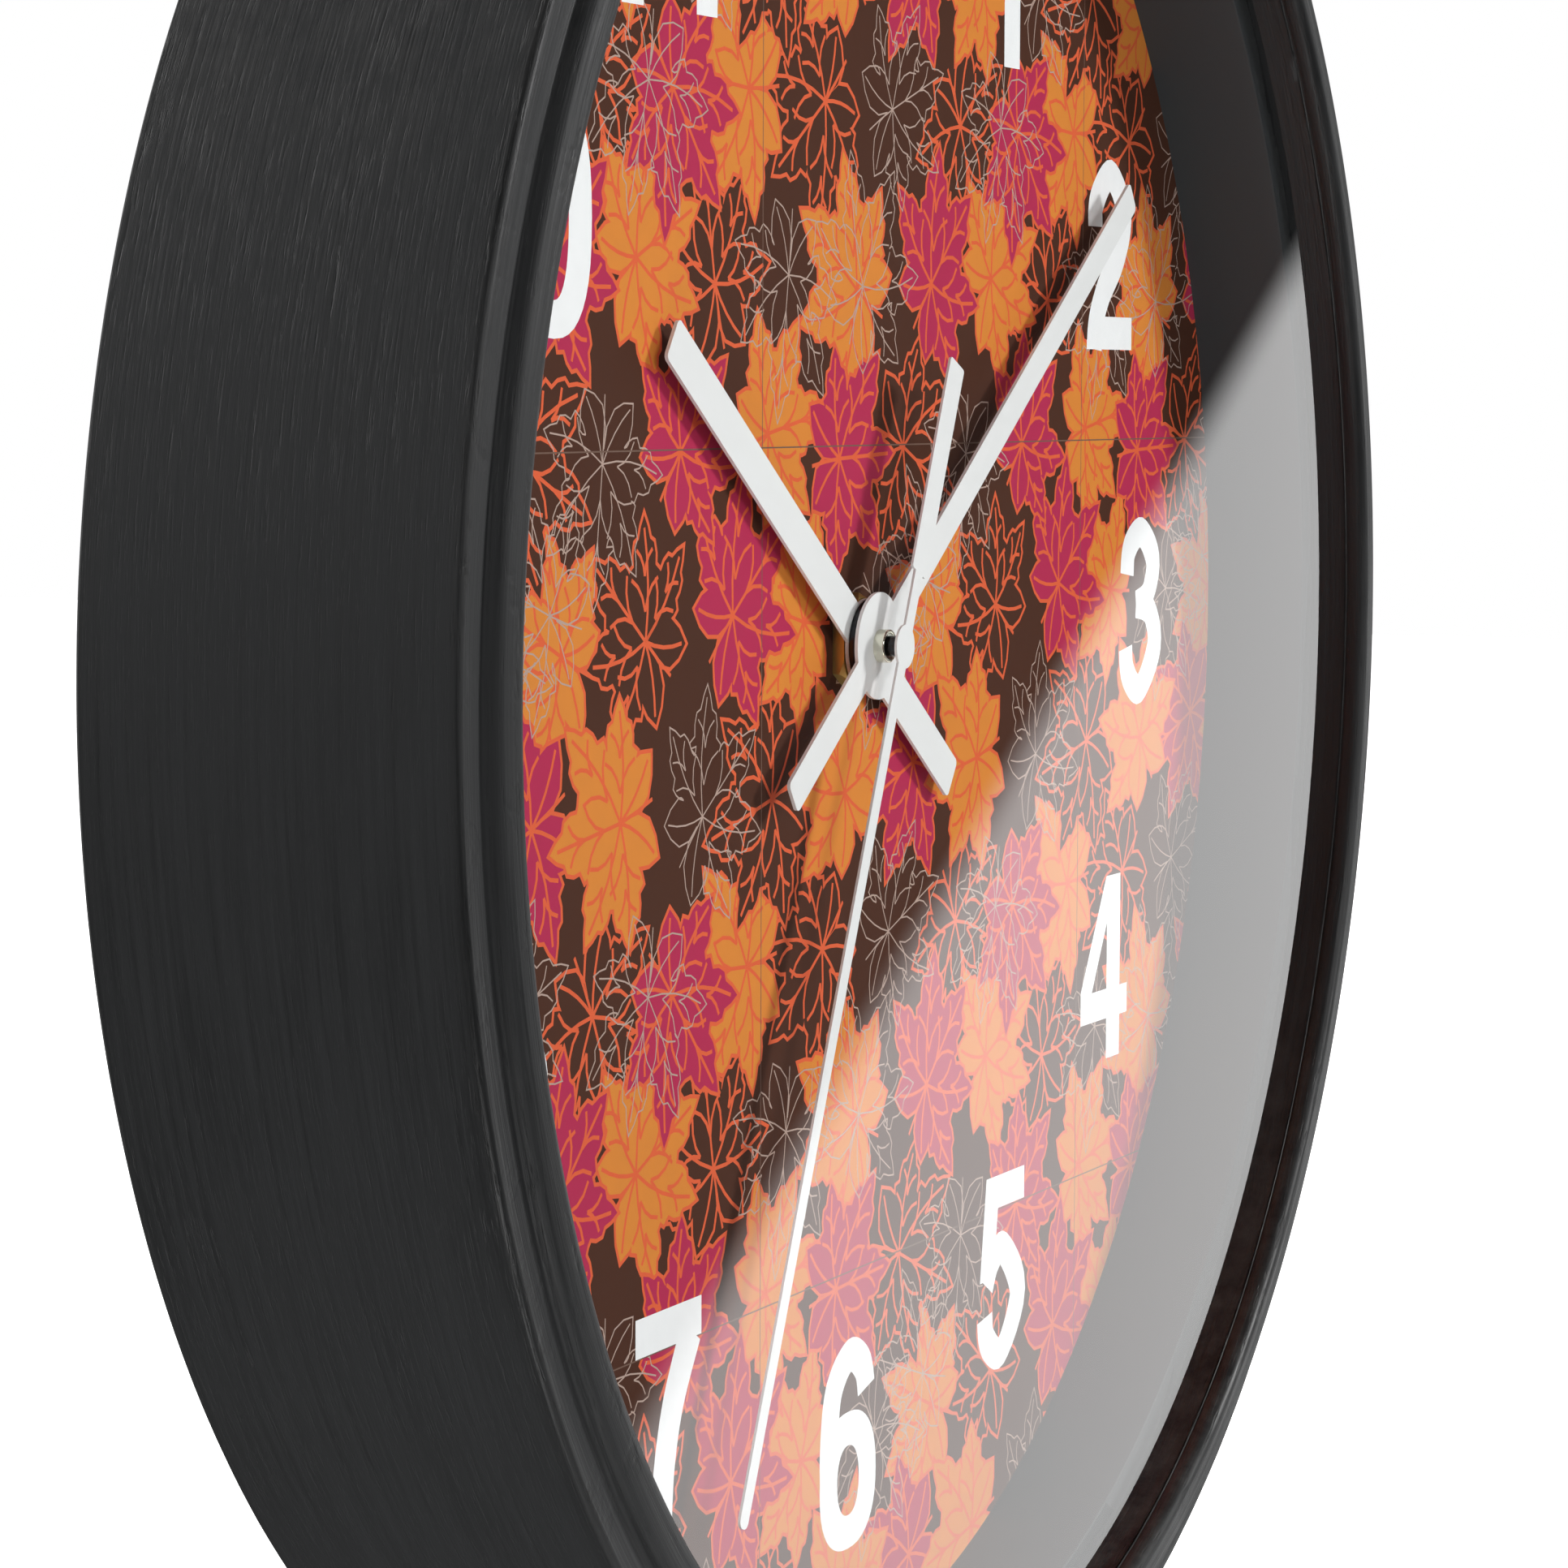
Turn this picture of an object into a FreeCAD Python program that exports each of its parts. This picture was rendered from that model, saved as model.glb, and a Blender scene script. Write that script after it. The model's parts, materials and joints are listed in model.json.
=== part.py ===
import FreeCAD, Part

import math
import os

from FreeCAD import Vector

# Round quartz wall clock, 10 inch across.
# Units are millimetres. The wall is the plane y = 0, the dial faces -Y, twelve o'clock is +Z,
# and the hands turn about the Y axis. "Depth" is the distance out from the wall, so y = -depth.

# Wooden frame
FRAME_RADIUS = 127.0
FRAME_DEPTH = 42.0
SHOULDER_RADIUS = 2.4
FACE_DISH = 0.3
LIP_BEAD_RADIUS = 118.5
LIP_BEAD_ROUND = 1.3
LIP_GROOVE_DEPTH = 39.2
LIP_GROOVE_WIDTH = 0.4
LIP_GROOVE_CUT = 0.8
LIP_BORE_RADIUS = 118.9
RABBET_RADIUS = 122.0
BACK_EDGE_CHAMFER = 0.6

# Glazing, inner wall and dial, from the front to the back
GLASS_FRONT = 35.2
GLASS_BACK = 33.2
INSERT_RADIUS = 121.7
INNER_WALL_RADIUS = 118.0
DIAL_FRONT = 19.6
SHEET_BACK = 19.3
BOARD_BACK = 16.3
DIAL_HOLE_RADIUS = 4.3

# Clips that hold the dial board in the frame
CLIP_COUNT = 6
CLIP_WIDTH = 10.0
CLIP_FOOT = 8.0
CLIP_THICKNESS = 0.8
CLIP_BACK = 8.5
CLIP_FLAT = 121.8
CLIP_SCREW_DEPTH = 11.8
CLIP_SCREW_RADIUS = 1.1
CLIP_SCREW_HEAD = 2.1
CLIP_SCREW_HEAD_HEIGHT = 1.0
CLIP_SCREW_REACH = 125.4
CLIP_HOLE_RADIUS = 1.2

# Movement case
CASE_HALF = 28.0
CASE_BACK = 0.8
CASE_SPLIT = 9.0
CASE_FRONT = 15.3
CASE_WALL = 1.2
CASE_CORNER = 2.5
CASE_INNER = CASE_HALF - CASE_WALL
TRAIN_BACK = CASE_BACK + CASE_WALL
TRAIN_FRONT = CASE_FRONT - CASE_WALL
PARTITION_TOP = -11.4
POCKET_TOP = -12.4
POCKET_BOTTOM = -26.9
POCKET_FLOOR = 14.75
FINGER_NOTCH_HALF = 8.0
FINGER_NOTCH_DEPTH = 5.0

# AA cell
CELL_RADIUS = 6.95
CELL_DEPTH = 7.75
CELL_Z = -19.65
CELL_LEFT = -24.9
CELL_LENGTH = 49.0
CELL_NUB_RADIUS = 2.7
CELL_NUB_LENGTH = 1.5
CELL_EDGE = 0.6

# Hanger plate and gasket between the movement and the board
HANGER_THICKNESS = 0.6
HANGER_HALF = 9.0
HANGER_FOOT_BOTTOM = -10.0
HANGER_SHELF_Z = 28.3
HANGER_TAB_BACK = 2.6
HANGER_TAB_TOP = 50.0
KEYHOLE_ENTRY_RADIUS = 4.0
KEYHOLE_ENTRY_Z = 36.5
KEYHOLE_SLOT_RADIUS = 2.0
KEYHOLE_TOP_Z = 43.5
GASKET_RADIUS = 9.0

# Threaded bush and its nut
BUSH_RADIUS = 3.97
BUSH_BORE = 2.6
BUSH_FRONT = 20.95
BUSH_FLANGE_RADIUS = 6.0
BUSH_FLANGE_BACK = 13.3
NUT_ACROSS_FLATS = 10.4
NUT_FRONT = 21.0

# Pivots
PIVOT_RADIUS = 0.35
BEARING_RADIUS = 0.40
PIVOT_REACH = 0.55
BEARING_REACH = 0.6

# Tooth forms, as shares of the module and of the circular pitch
WHEEL_FORM = {"addendum": 0.85, "dedendum": 1.2, "pitch": 0.42, "tip": 0.18, "root": 0.62}
PINION_FORM = {"addendum": 0.6, "dedendum": 1.2, "pitch": 0.38, "tip": 0.18, "root": 0.50}

# Going train: teeth and modules, from the rotor to the centre wheel
ROTOR_PINION_TEETH = 8
FIFTH_WHEEL_TEETH = 40
ROTOR_MODULE = 0.24
FIFTH_PINION_TEETH = 10
SECONDS_WHEEL_TEETH = 60
FIFTH_MODULE = 0.303
SECONDS_PINION_TEETH = 8
THIRD_WHEEL_TEETH = 64
SECONDS_MODULE = 0.3
THIRD_PINION_TEETH = 8
CENTRE_WHEEL_TEETH = 60
THIRD_MODULE = SECONDS_MODULE * (SECONDS_PINION_TEETH + THIRD_WHEEL_TEETH) / (
    THIRD_PINION_TEETH + CENTRE_WHEEL_TEETH
)

# Motion work: minute tube to setting wheel to hour wheel
CANNON_PINION_TEETH = 12
MOTION_WHEEL_TEETH = 36
CANNON_MODULE = 0.479
MOTION_PINION_TEETH = 10
HOUR_WHEEL_TEETH = 40
HOUR_MODULE = CANNON_MODULE * (CANNON_PINION_TEETH + MOTION_WHEEL_TEETH) / (
    MOTION_PINION_TEETH + HOUR_WHEEL_TEETH
)

# Bearings of the arbors from the centre, in degrees clockwise from twelve, seen from the front
THIRD_BEARING = -19.0
FIFTH_BEARING = 106.0
ROTOR_BEARING = 60.0
MOTION_BEARING = -97.5

# Levels of the wheels, each a back and a front depth
LEVEL_ROTOR = (2.7, 3.7)
LEVEL_SECONDS = (4.1, 5.1)
LEVEL_THIRD = (5.6, 6.6)
LEVEL_CENTRE = (7.2, 8.2)
LEVEL_CANNON = (10.0, 11.0)
LEVEL_HOUR = (11.5, 12.5)
PINION_MARGIN = 0.2

# Plate that carries the front pivots of the going train
PLATE_BACK = 8.7
PLATE_FRONT = 9.5
PLATE_POST_RADIUS = 1.4
PLATE_POSTS = ((-24.0, -8.5), (-24.0, 24.0), (24.0, 23.6), (24.0, -8.5))

# Stepping motor
STATOR_BACK = 9.9
STATOR_FRONT = 10.7
ROTOR_HOLE_RADIUS = 2.75
MAGNET_RADIUS = 2.2
STATOR_BAR_HALF = 3.0
STATOR_LOW = -8.0
STATOR_HIGH = 22.0
STATOR_ARM = 3.8
COIL_X = 22.4
CORE_HALF = 1.0
CORE_FRONT = 11.5
COIL_LOW = -3.2
COIL_HIGH = 17.2
COIL_FLANGE_RADIUS = 2.85
COIL_FLANGE = 0.6
COIL_TUBE_RADIUS = 1.7
COIL_WINDING_RADIUS = 2.6

# Circuit board
BOARD_X = (-25.6, -6.0)
BOARD_Z = (12.6, 25.6)
BOARD_DEPTHS = (10.0, 10.8)
BOARD_PADS = ((-23.4, 14.6), (-8.2, 23.6))
CRYSTAL_RADIUS = 1.0
CHIP_RADIUS = 2.6
CHIP_HEIGHT = 0.9

# Arbors, tubes and hands on the centre axis
SECONDS_SHAFT_RADIUS = 0.5
MINUTE_TUBE_RADIUS = 1.5
MINUTE_TUBE_BORE = 0.58
MINUTE_TUBE_BACK = 7.0
MINUTE_TUBE_FRONT = 23.9
HOUR_TUBE_RADIUS = 2.5
HOUR_TUBE_BORE = 1.58
STEM_RADIUS = 1.0
STEM_HOLE_RADIUS = 1.1
KNOB_RADIUS = 4.2
KNOB_BACK = 0.9
KNOB_FRONT = 2.5
KNOB_FLUTES = 24
KNOB_WELL_RADIUS = 5.0
KNOB_WELL_FLOOR = 2.9

HOUR_ANGLE = 304.8
MINUTE_ANGLE = 55.7
SECOND_ANGLE = 204.4
HOUR_HAND = {"reach": 60.0, "tail": 30.0, "width": 5.0, "eye": 5.35, "depths": (21.2, 21.6)}
MINUTE_HAND = {"reach": 95.3, "tail": 27.7, "width": 4.0, "eye": 6.1, "depths": (22.7, 23.1)}
HAND_CORNER = 0.7
SECOND_REACH = 101.1
SECOND_WIDTH = 2.1
SECOND_TAIL = 35.1
SECOND_TAIL_START = 9.0
SECOND_TAIL_WIDTH = 4.15
SECOND_EYE = 2.5
SECOND_DEPTHS = (26.0, 26.3)
COLLET_RADIUS = 1.15
COLLET_BACK = 24.1
MINUTE_NUT_RADIUS = 1.9
MINUTE_NUT_FRONT = 24.4

Y_AXIS = Vector(0, 1, 0)
CENTRE = (0.0, 0.0)


def place(origin, bearing, distance):
    """Point at a clock bearing and distance from another point, as (x, z)."""
    angle = math.radians(bearing)
    return origin[0] + distance * math.sin(angle), origin[1] + distance * math.cos(angle)


THIRD = place(CENTRE, THIRD_BEARING, SECONDS_MODULE * (SECONDS_PINION_TEETH + THIRD_WHEEL_TEETH) / 2)
FIFTH = place(CENTRE, FIFTH_BEARING, FIFTH_MODULE * (FIFTH_PINION_TEETH + SECONDS_WHEEL_TEETH) / 2)
ROTOR = place(FIFTH, ROTOR_BEARING, ROTOR_MODULE * (ROTOR_PINION_TEETH + FIFTH_WHEEL_TEETH) / 2)
MOTION = place(CENTRE, MOTION_BEARING, CANNON_MODULE * (CANNON_PINION_TEETH + MOTION_WHEEL_TEETH) / 2)


def rod(at, radius, back, front):
    """Cylinder parallel to the clock's axis between two depths."""
    return Part.makeCylinder(radius, front - back, Vector(at[0], -back, at[1]), Vector(0, -1, 0))


def tube(at, outer, inner, back, front):
    return rod(at, outer, back, front).cut(rod(at, inner, back, front))


def block(x, z, depths):
    """Box from (low, high) ranges in x, z and depth."""
    corner = Vector(x[0], -depths[1], z[0])
    return Part.makeBox(x[1] - x[0], depths[1] - depths[0], z[1] - z[0], corner)


def join(first, *others):
    return first.multiFuse(list(others)).removeSplitter() if others else first


def turned(shape, angle):
    """The shape turned clockwise about the clock's axis, seen from the front."""
    copy = shape.copy()
    copy.rotate(Vector(0, 0, 0), Y_AXIS, angle)
    return copy


def round_upright_edges(shape, radius, wanted=lambda edge: True):
    """Fillet the edges that run along the clock's axis."""
    edges = []
    for edge in shape.Edges:
        straight = isinstance(edge.Curve, Part.Line)
        if straight and abs(edge.tangentAt(edge.FirstParameter).y) > 0.99 and wanted(edge):
            edges.append(edge)
    return shape.makeFillet(radius, edges)


def prism(points, depths):
    """Flat outline of (x, z) points, extruded from the front depth to the back depth."""
    corners = [Vector(x, -depths[1], z) for x, z in points]
    face = Part.Face(Part.makePolygon(corners + corners[:1]))
    return face.extrude(Vector(0, depths[1] - depths[0], 0))


def gear(at, teeth, module, form, phase, depths):
    """Gear with straight-sided teeth. Phase is the clock bearing of one tooth, in degrees."""
    pitch_radius = module * teeth / 2
    tip_radius = pitch_radius + form["addendum"] * module
    root_radius = pitch_radius - form["dedendum"] * module
    half_tooth = (
        (root_radius, form["root"] / 2),
        (pitch_radius, form["pitch"] / 2),
        (tip_radius, form["tip"] / 2),
    )
    step = 360.0 / teeth
    outline = []
    for tooth in range(teeth):
        middle = phase + tooth * step
        outline += [place(at, middle - step * share, radius) for radius, share in half_tooth]
        outline += [place(at, middle + step * share, radius) for radius, share in reversed(half_tooth)]
    return prism(outline, depths)


def meshed_phase(driver, driver_teeth, driver_phase, driven, driven_teeth):
    """Phase that sets a gap of the driven gear on each tooth of its driver."""
    bearing = math.degrees(math.atan2(driven[0] - driver[0], driven[1] - driver[1]))
    driver_share = driver_teeth * (bearing - driver_phase) / 360.0
    return bearing + 180.0 - (0.5 - driver_share) * 360.0 / driven_teeth


def widened(level):
    """A pinion's depths: it stands a little past the wheel that it meshes with."""
    return level[0] - PINION_MARGIN, level[1] + PINION_MARGIN


def profile_ring(edges):
    """Ring swept about the clock's axis from closed edges in the plane z = 0."""
    wire = Part.Wire(Part.__sortEdges__(edges))
    ring = Part.Face(wire).revolve(Vector(0, 0, 0), Y_AXIS, 360)
    return Part.Solid(ring.Shells[0]) if ring.ShapeType != "Solid" else ring


def at_radius(radius, depth):
    return Vector(radius, -depth, 0)


def line(start, end):
    return Part.LineSegment(start, end).toShape()


def quarter(start, centre, end):
    """Arc from start to end about a centre, bulging away from it."""
    radius = start.distanceToPoint(centre)
    middle = (start + end) * 0.5 - centre
    middle.normalize()
    return Part.Arc(start, centre + middle * radius, end).toShape()


def wood_frame():
    shoulder = at_radius(FRAME_RADIUS, FRAME_DEPTH - SHOULDER_RADIUS)
    shoulder_centre = at_radius(FRAME_RADIUS - SHOULDER_RADIUS, FRAME_DEPTH - SHOULDER_RADIUS)
    crest = at_radius(FRAME_RADIUS - SHOULDER_RADIUS, FRAME_DEPTH)
    bead_front_depth = FRAME_DEPTH - FACE_DISH
    bead_centre = at_radius(LIP_BEAD_RADIUS + LIP_BEAD_ROUND, bead_front_depth - LIP_BEAD_ROUND)
    bead_front = at_radius(LIP_BEAD_RADIUS + LIP_BEAD_ROUND, bead_front_depth)
    bead_inside = at_radius(LIP_BEAD_RADIUS, bead_front_depth - LIP_BEAD_ROUND)
    groove_radius = LIP_BEAD_RADIUS + LIP_GROOVE_CUT
    chain = [
        at_radius(groove_radius, LIP_GROOVE_DEPTH + LIP_GROOVE_WIDTH / 2),
        at_radius(groove_radius, LIP_GROOVE_DEPTH - LIP_GROOVE_WIDTH / 2),
        at_radius(LIP_BORE_RADIUS, LIP_GROOVE_DEPTH - LIP_GROOVE_WIDTH / 2),
        at_radius(LIP_BORE_RADIUS, GLASS_FRONT),
        at_radius(RABBET_RADIUS, GLASS_FRONT),
        at_radius(RABBET_RADIUS, 0),
        at_radius(FRAME_RADIUS - BACK_EDGE_CHAMFER, 0),
        at_radius(FRAME_RADIUS, BACK_EDGE_CHAMFER),
        shoulder,
    ]
    edges = [line(a, b) for a, b in zip(chain, chain[1:])]
    edges.append(quarter(shoulder, shoulder_centre, crest))
    edges.append(line(crest, bead_front))
    edges.append(quarter(bead_front, bead_centre, bead_inside))
    edges.append(line(bead_inside, chain[0]))
    return profile_ring(edges).cut(Part.makeCompound([screw_shank(n) for n in range(CLIP_COUNT)]))


def glass():
    return rod(CENTRE, INSERT_RADIUS, GLASS_BACK, GLASS_FRONT)


def inner_wall():
    return tube(CENTRE, INSERT_RADIUS, INNER_WALL_RADIUS, DIAL_FRONT, GLASS_BACK)


def dial_sheet():
    return tube(CENTRE, INSERT_RADIUS, DIAL_HOLE_RADIUS, SHEET_BACK, DIAL_FRONT)


def dial_board():
    return tube(CENTRE, INSERT_RADIUS, DIAL_HOLE_RADIUS, BOARD_BACK, SHEET_BACK)


def clip_angle(number):
    return (number + 0.5) * 360.0 / CLIP_COUNT


def screw_shank(number):
    start = Vector(0, -CLIP_SCREW_DEPTH, CLIP_FLAT - CLIP_THICKNESS)
    length = CLIP_SCREW_REACH - start.z
    shank = Part.makeCylinder(CLIP_SCREW_RADIUS, length, start, Vector(0, 0, 1))
    return turned(shank, clip_angle(number))


def board_clip(number):
    """Angle clip: one leg on the frame's inside, one foot on the back of the dial board."""
    half = CLIP_WIDTH / 2
    inside = CLIP_FLAT - CLIP_THICKNESS
    foot_depths = (BOARD_BACK - CLIP_THICKNESS, BOARD_BACK)
    leg = block((-half, half), (inside, CLIP_FLAT), (CLIP_BACK, BOARD_BACK))
    foot = round_upright_edges(
        block((-half, half), (inside - CLIP_FOOT, CLIP_FLAT), foot_depths),
        2.0,
        lambda edge: edge.CenterOfMass.z < inside - CLIP_FOOT + 0.1,
    )
    hole = Part.makeCylinder(
        CLIP_HOLE_RADIUS, 2 * CLIP_THICKNESS, Vector(0, -CLIP_SCREW_DEPTH, inside - 0.4), Vector(0, 0, 1)
    )
    return turned(join(leg, foot).cut(hole), clip_angle(number))


def clip_screw(number):
    """Round-headed wood screw that runs outwards into the frame."""
    under_head = CLIP_FLAT - CLIP_THICKNESS
    head = Part.makeCylinder(
        CLIP_SCREW_HEAD,
        CLIP_SCREW_HEAD_HEIGHT,
        Vector(0, -CLIP_SCREW_DEPTH, under_head),
        Vector(0, 0, -1),
    )
    lower_rim = [edge for edge in head.Edges if edge.CenterOfMass.z < under_head - 0.9]
    head = head.makeFillet(0.6, lower_rim)
    slot = block((-2.5, 2.5), (under_head - 1.1, under_head - 0.6), (CLIP_SCREW_DEPTH - 0.25, CLIP_SCREW_DEPTH + 0.25))
    return join(turned(head.cut(slot), clip_angle(number)), screw_shank(number))


def case_shell(depths):
    outside = block((-CASE_HALF, CASE_HALF), (-CASE_HALF, CASE_HALF), depths)
    return round_upright_edges(outside, CASE_CORNER)


def train_room(depths):
    return block((-CASE_INNER, CASE_INNER), (PARTITION_TOP, CASE_INNER), depths)


def cell_pocket(depths):
    return block((-CASE_INNER, CASE_INNER), (POCKET_BOTTOM, POCKET_TOP), depths)


def front_case():
    shell = case_shell((CASE_SPLIT, CASE_FRONT))
    shell = shell.cut(train_room((CASE_SPLIT, TRAIN_FRONT)))
    shell = shell.cut(cell_pocket((CASE_SPLIT, POCKET_FLOOR)))
    shell = shell.cut(rod(CENTRE, BUSH_RADIUS, TRAIN_FRONT, CASE_FRONT))
    bearings = [rod(at, BEARING_RADIUS, TRAIN_FRONT, TRAIN_FRONT + BEARING_REACH) for at in (ROTOR, MOTION)]
    return shell.cut(Part.makeCompound(bearings))


def rear_case():
    """Rear half of the case, with the open pocket for the cell and the well of the setting knob."""
    shell = case_shell((CASE_BACK, CASE_SPLIT))
    shell = shell.cut(train_room((TRAIN_BACK, CASE_SPLIT)))
    shell = shell.cut(cell_pocket((CASE_BACK, CASE_SPLIT)))
    notch = block(
        (-FINGER_NOTCH_HALF, FINGER_NOTCH_HALF),
        (-CASE_HALF, POCKET_BOTTOM),
        (CASE_BACK, FINGER_NOTCH_DEPTH),
    )
    shell = shell.cut(notch)
    well_wall = rod(MOTION, KNOB_WELL_RADIUS + 0.8, TRAIN_BACK, KNOB_WELL_FLOOR + 0.7)
    shell = join(shell, well_wall.common(train_room((TRAIN_BACK, CASE_SPLIT))))
    shell = shell.cut(rod(MOTION, KNOB_WELL_RADIUS, CASE_BACK, KNOB_WELL_FLOOR))
    shell = shell.cut(rod(MOTION, STEM_HOLE_RADIUS, CASE_BACK, KNOB_WELL_FLOOR + 1))
    for at in (THIRD, FIFTH, ROTOR):
        shell = shell.cut(rod(at, BEARING_RADIUS, TRAIN_BACK - BEARING_REACH, TRAIN_BACK))
    seconds_bearing = SECONDS_SHAFT_RADIUS + 0.06
    return shell.cut(rod(CENTRE, seconds_bearing, TRAIN_BACK - BEARING_REACH, TRAIN_BACK))


def battery():
    along = Vector(1, 0, 0)
    can = Part.makeCylinder(CELL_RADIUS, CELL_LENGTH, Vector(CELL_LEFT, -CELL_DEPTH, CELL_Z), along)
    can = can.makeFillet(CELL_EDGE, [edge for edge in can.Edges if isinstance(edge.Curve, Part.Circle)])
    right = CELL_LEFT + CELL_LENGTH
    nub = Part.makeCylinder(CELL_NUB_RADIUS, CELL_NUB_LENGTH, Vector(right, -CELL_DEPTH, CELL_Z), along)
    return join(can, nub)


def contact_positive():
    near = CELL_LEFT + CELL_LENGTH + CELL_NUB_LENGTH + 0.1
    plate = block((near, near + 0.3), (CELL_Z - 4.5, CELL_Z + 4.5), (3.0, 13.0))
    foot = block((near, CASE_INNER), (CELL_Z - 4.5, CELL_Z + 4.5), (12.7, 13.0))
    return join(plate, foot)


def contact_negative():
    """Leaf that bows out from the pocket's end wall to the flat end of the cell."""
    wall = -CASE_INNER + 0.1
    crown = CELL_LEFT - 0.1
    thick = 0.3
    half = 6.0
    outline = [
        (wall, CELL_Z - half - 0.6),
        (wall + thick, CELL_Z - half - 0.6),
        (wall + thick, CELL_Z - half),
        (crown, CELL_Z - 1.5),
        (crown, CELL_Z + 1.5),
        (wall + thick, CELL_Z + half),
        (wall + thick, CELL_Z + half + 0.6),
        (wall, CELL_Z + half + 0.6),
        (wall, CELL_Z + half),
        (crown - thick, CELL_Z + 1.5),
        (crown - thick, CELL_Z - 1.5),
        (wall, CELL_Z - half),
    ]
    return prism(outline, (4.5, 11.0))


def hanger_plate():
    """Steel plate behind the board, bent back and up to a tab with a keyhole."""
    plate_back = CASE_FRONT
    plate_front = CASE_FRONT + HANGER_THICKNESS
    shelf_top = HANGER_SHELF_Z + HANGER_THICKNESS
    across = (-HANGER_HALF, HANGER_HALF)
    foot = block(across, (HANGER_FOOT_BOTTOM, shelf_top), (plate_back, plate_front))
    foot = round_upright_edges(foot, 2.0, lambda edge: edge.CenterOfMass.z < 0)
    foot = foot.cut(rod(CENTRE, DIAL_HOLE_RADIUS, plate_back, plate_front))
    shelf = block(across, (HANGER_SHELF_Z, shelf_top), (HANGER_TAB_BACK, plate_front))
    tab_depths = (HANGER_TAB_BACK, HANGER_TAB_BACK + HANGER_THICKNESS)
    tab = block(across, (HANGER_SHELF_Z, HANGER_TAB_TOP), tab_depths)
    tab = round_upright_edges(tab, 4.0, lambda edge: edge.CenterOfMass.z > HANGER_SHELF_Z + 1)
    slot = block((-KEYHOLE_SLOT_RADIUS, KEYHOLE_SLOT_RADIUS), (KEYHOLE_ENTRY_Z, KEYHOLE_TOP_Z), tab_depths)
    tab = tab.cut(rod((0, KEYHOLE_ENTRY_Z), KEYHOLE_ENTRY_RADIUS, *tab_depths))
    tab = tab.cut(slot).cut(rod((0, KEYHOLE_TOP_Z), KEYHOLE_SLOT_RADIUS, *tab_depths))
    return join(foot, shelf, tab)


def movement_gasket():
    return tube(CENTRE, GASKET_RADIUS, DIAL_HOLE_RADIUS, CASE_FRONT + HANGER_THICKNESS, BOARD_BACK)


def threaded_bush():
    barrel = rod(CENTRE, BUSH_RADIUS, TRAIN_FRONT, BUSH_FRONT)
    flange = rod(CENTRE, BUSH_FLANGE_RADIUS, BUSH_FLANGE_BACK, TRAIN_FRONT)
    return join(barrel, flange).cut(rod(CENTRE, BUSH_BORE, BUSH_FLANGE_BACK, BUSH_FRONT))


def hex_nut():
    """Hexagon nut with one flat on the left, and corners turned off towards the front."""
    corner = NUT_ACROSS_FLATS / math.sqrt(3)
    outline = [place(CENTRE, 60.0 * n, corner) for n in range(6)]
    nut = prism(outline, (DIAL_FRONT, NUT_FRONT))
    rim = corner - 0.1
    turning = Part.makeCone(rim + 1.6, rim - 0.5, 2.1, Vector(0, -NUT_FRONT + 2.1, 0), Vector(0, -1, 0))
    return nut.common(turning).cut(rod(CENTRE, BUSH_RADIUS, DIAL_FRONT, NUT_FRONT))


def train_plate():
    """Plate on four posts that carries the front pivots of the going train."""
    depths = (PLATE_BACK, PLATE_FRONT)
    ear_low = block((-25.6, 25.6), (-10.6, STATOR_LOW + STATOR_ARM), depths)
    ear_high = block((-25.6, 25.6), (STATOR_HIGH - STATOR_ARM + 0.4, 25.6), depths)
    middle = block((-25.6, 18.8), (-10.6, 25.6), depths)
    posts = [rod(at, PLATE_POST_RADIUS, TRAIN_BACK, PLATE_BACK) for at in PLATE_POSTS]
    pads = [rod(at, 1.3, PLATE_FRONT, BOARD_DEPTHS[0]) for at in BOARD_PADS]
    stator_pads = [rod(at, 1.5, PLATE_FRONT, STATOR_BACK) for at in stator_screw_places()]
    plate = join(middle, ear_low, ear_high, *posts, *pads, *stator_pads)
    plate = plate.cut(rod(CENTRE, MINUTE_TUBE_RADIUS + 0.1, *depths))
    plate = plate.cut(rod(MOTION, STEM_HOLE_RADIUS, *depths))
    plate = plate.cut(rod(ROTOR, 1.2, *depths))
    for at in (THIRD, FIFTH):
        plate = plate.cut(rod(at, BEARING_RADIUS, *depths))
    for at in stator_screw_places():
        plate = plate.cut(rod(at, 0.6, PLATE_BACK, STATOR_BACK))
    return plate


def stator_screw_places():
    return (COIL_X, STATOR_LOW + STATOR_ARM / 2), (COIL_X, STATOR_HIGH - STATOR_ARM / 2)


def stator():
    """C-shaped pole plate with a hole for the rotor's magnet."""
    depths = (STATOR_BACK, STATOR_FRONT)
    right = COIL_X + CORE_HALF + 1.0
    left = ROTOR[0] - STATOR_BAR_HALF
    bar = block((left, ROTOR[0] + STATOR_BAR_HALF), (STATOR_LOW, STATOR_HIGH), depths)
    low_arm = block((left, right), (STATOR_LOW, STATOR_LOW + STATOR_ARM), depths)
    high_arm = block((left, right), (STATOR_HIGH - STATOR_ARM, STATOR_HIGH), depths)
    plate = join(bar, low_arm, high_arm).cut(rod(ROTOR, ROTOR_HOLE_RADIUS, *depths))
    for at in stator_screw_places():
        plate = plate.cut(rod(at, 0.6, *depths))
    return plate


def coil_core():
    core = block((COIL_X - CORE_HALF, COIL_X + CORE_HALF), (STATOR_LOW, STATOR_HIGH), (STATOR_FRONT, CORE_FRONT))
    for at in stator_screw_places():
        core = core.cut(rod(at, 0.6, STATOR_FRONT, CORE_FRONT))
    return core


def coil_centre():
    return (STATOR_FRONT + CORE_FRONT) / 2


def upright(radius, low, high):
    """Cylinder along the coil's axis, between two heights."""
    return Part.makeCylinder(radius, high - low, Vector(COIL_X, -coil_centre(), low), Vector(0, 0, 1))


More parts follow.
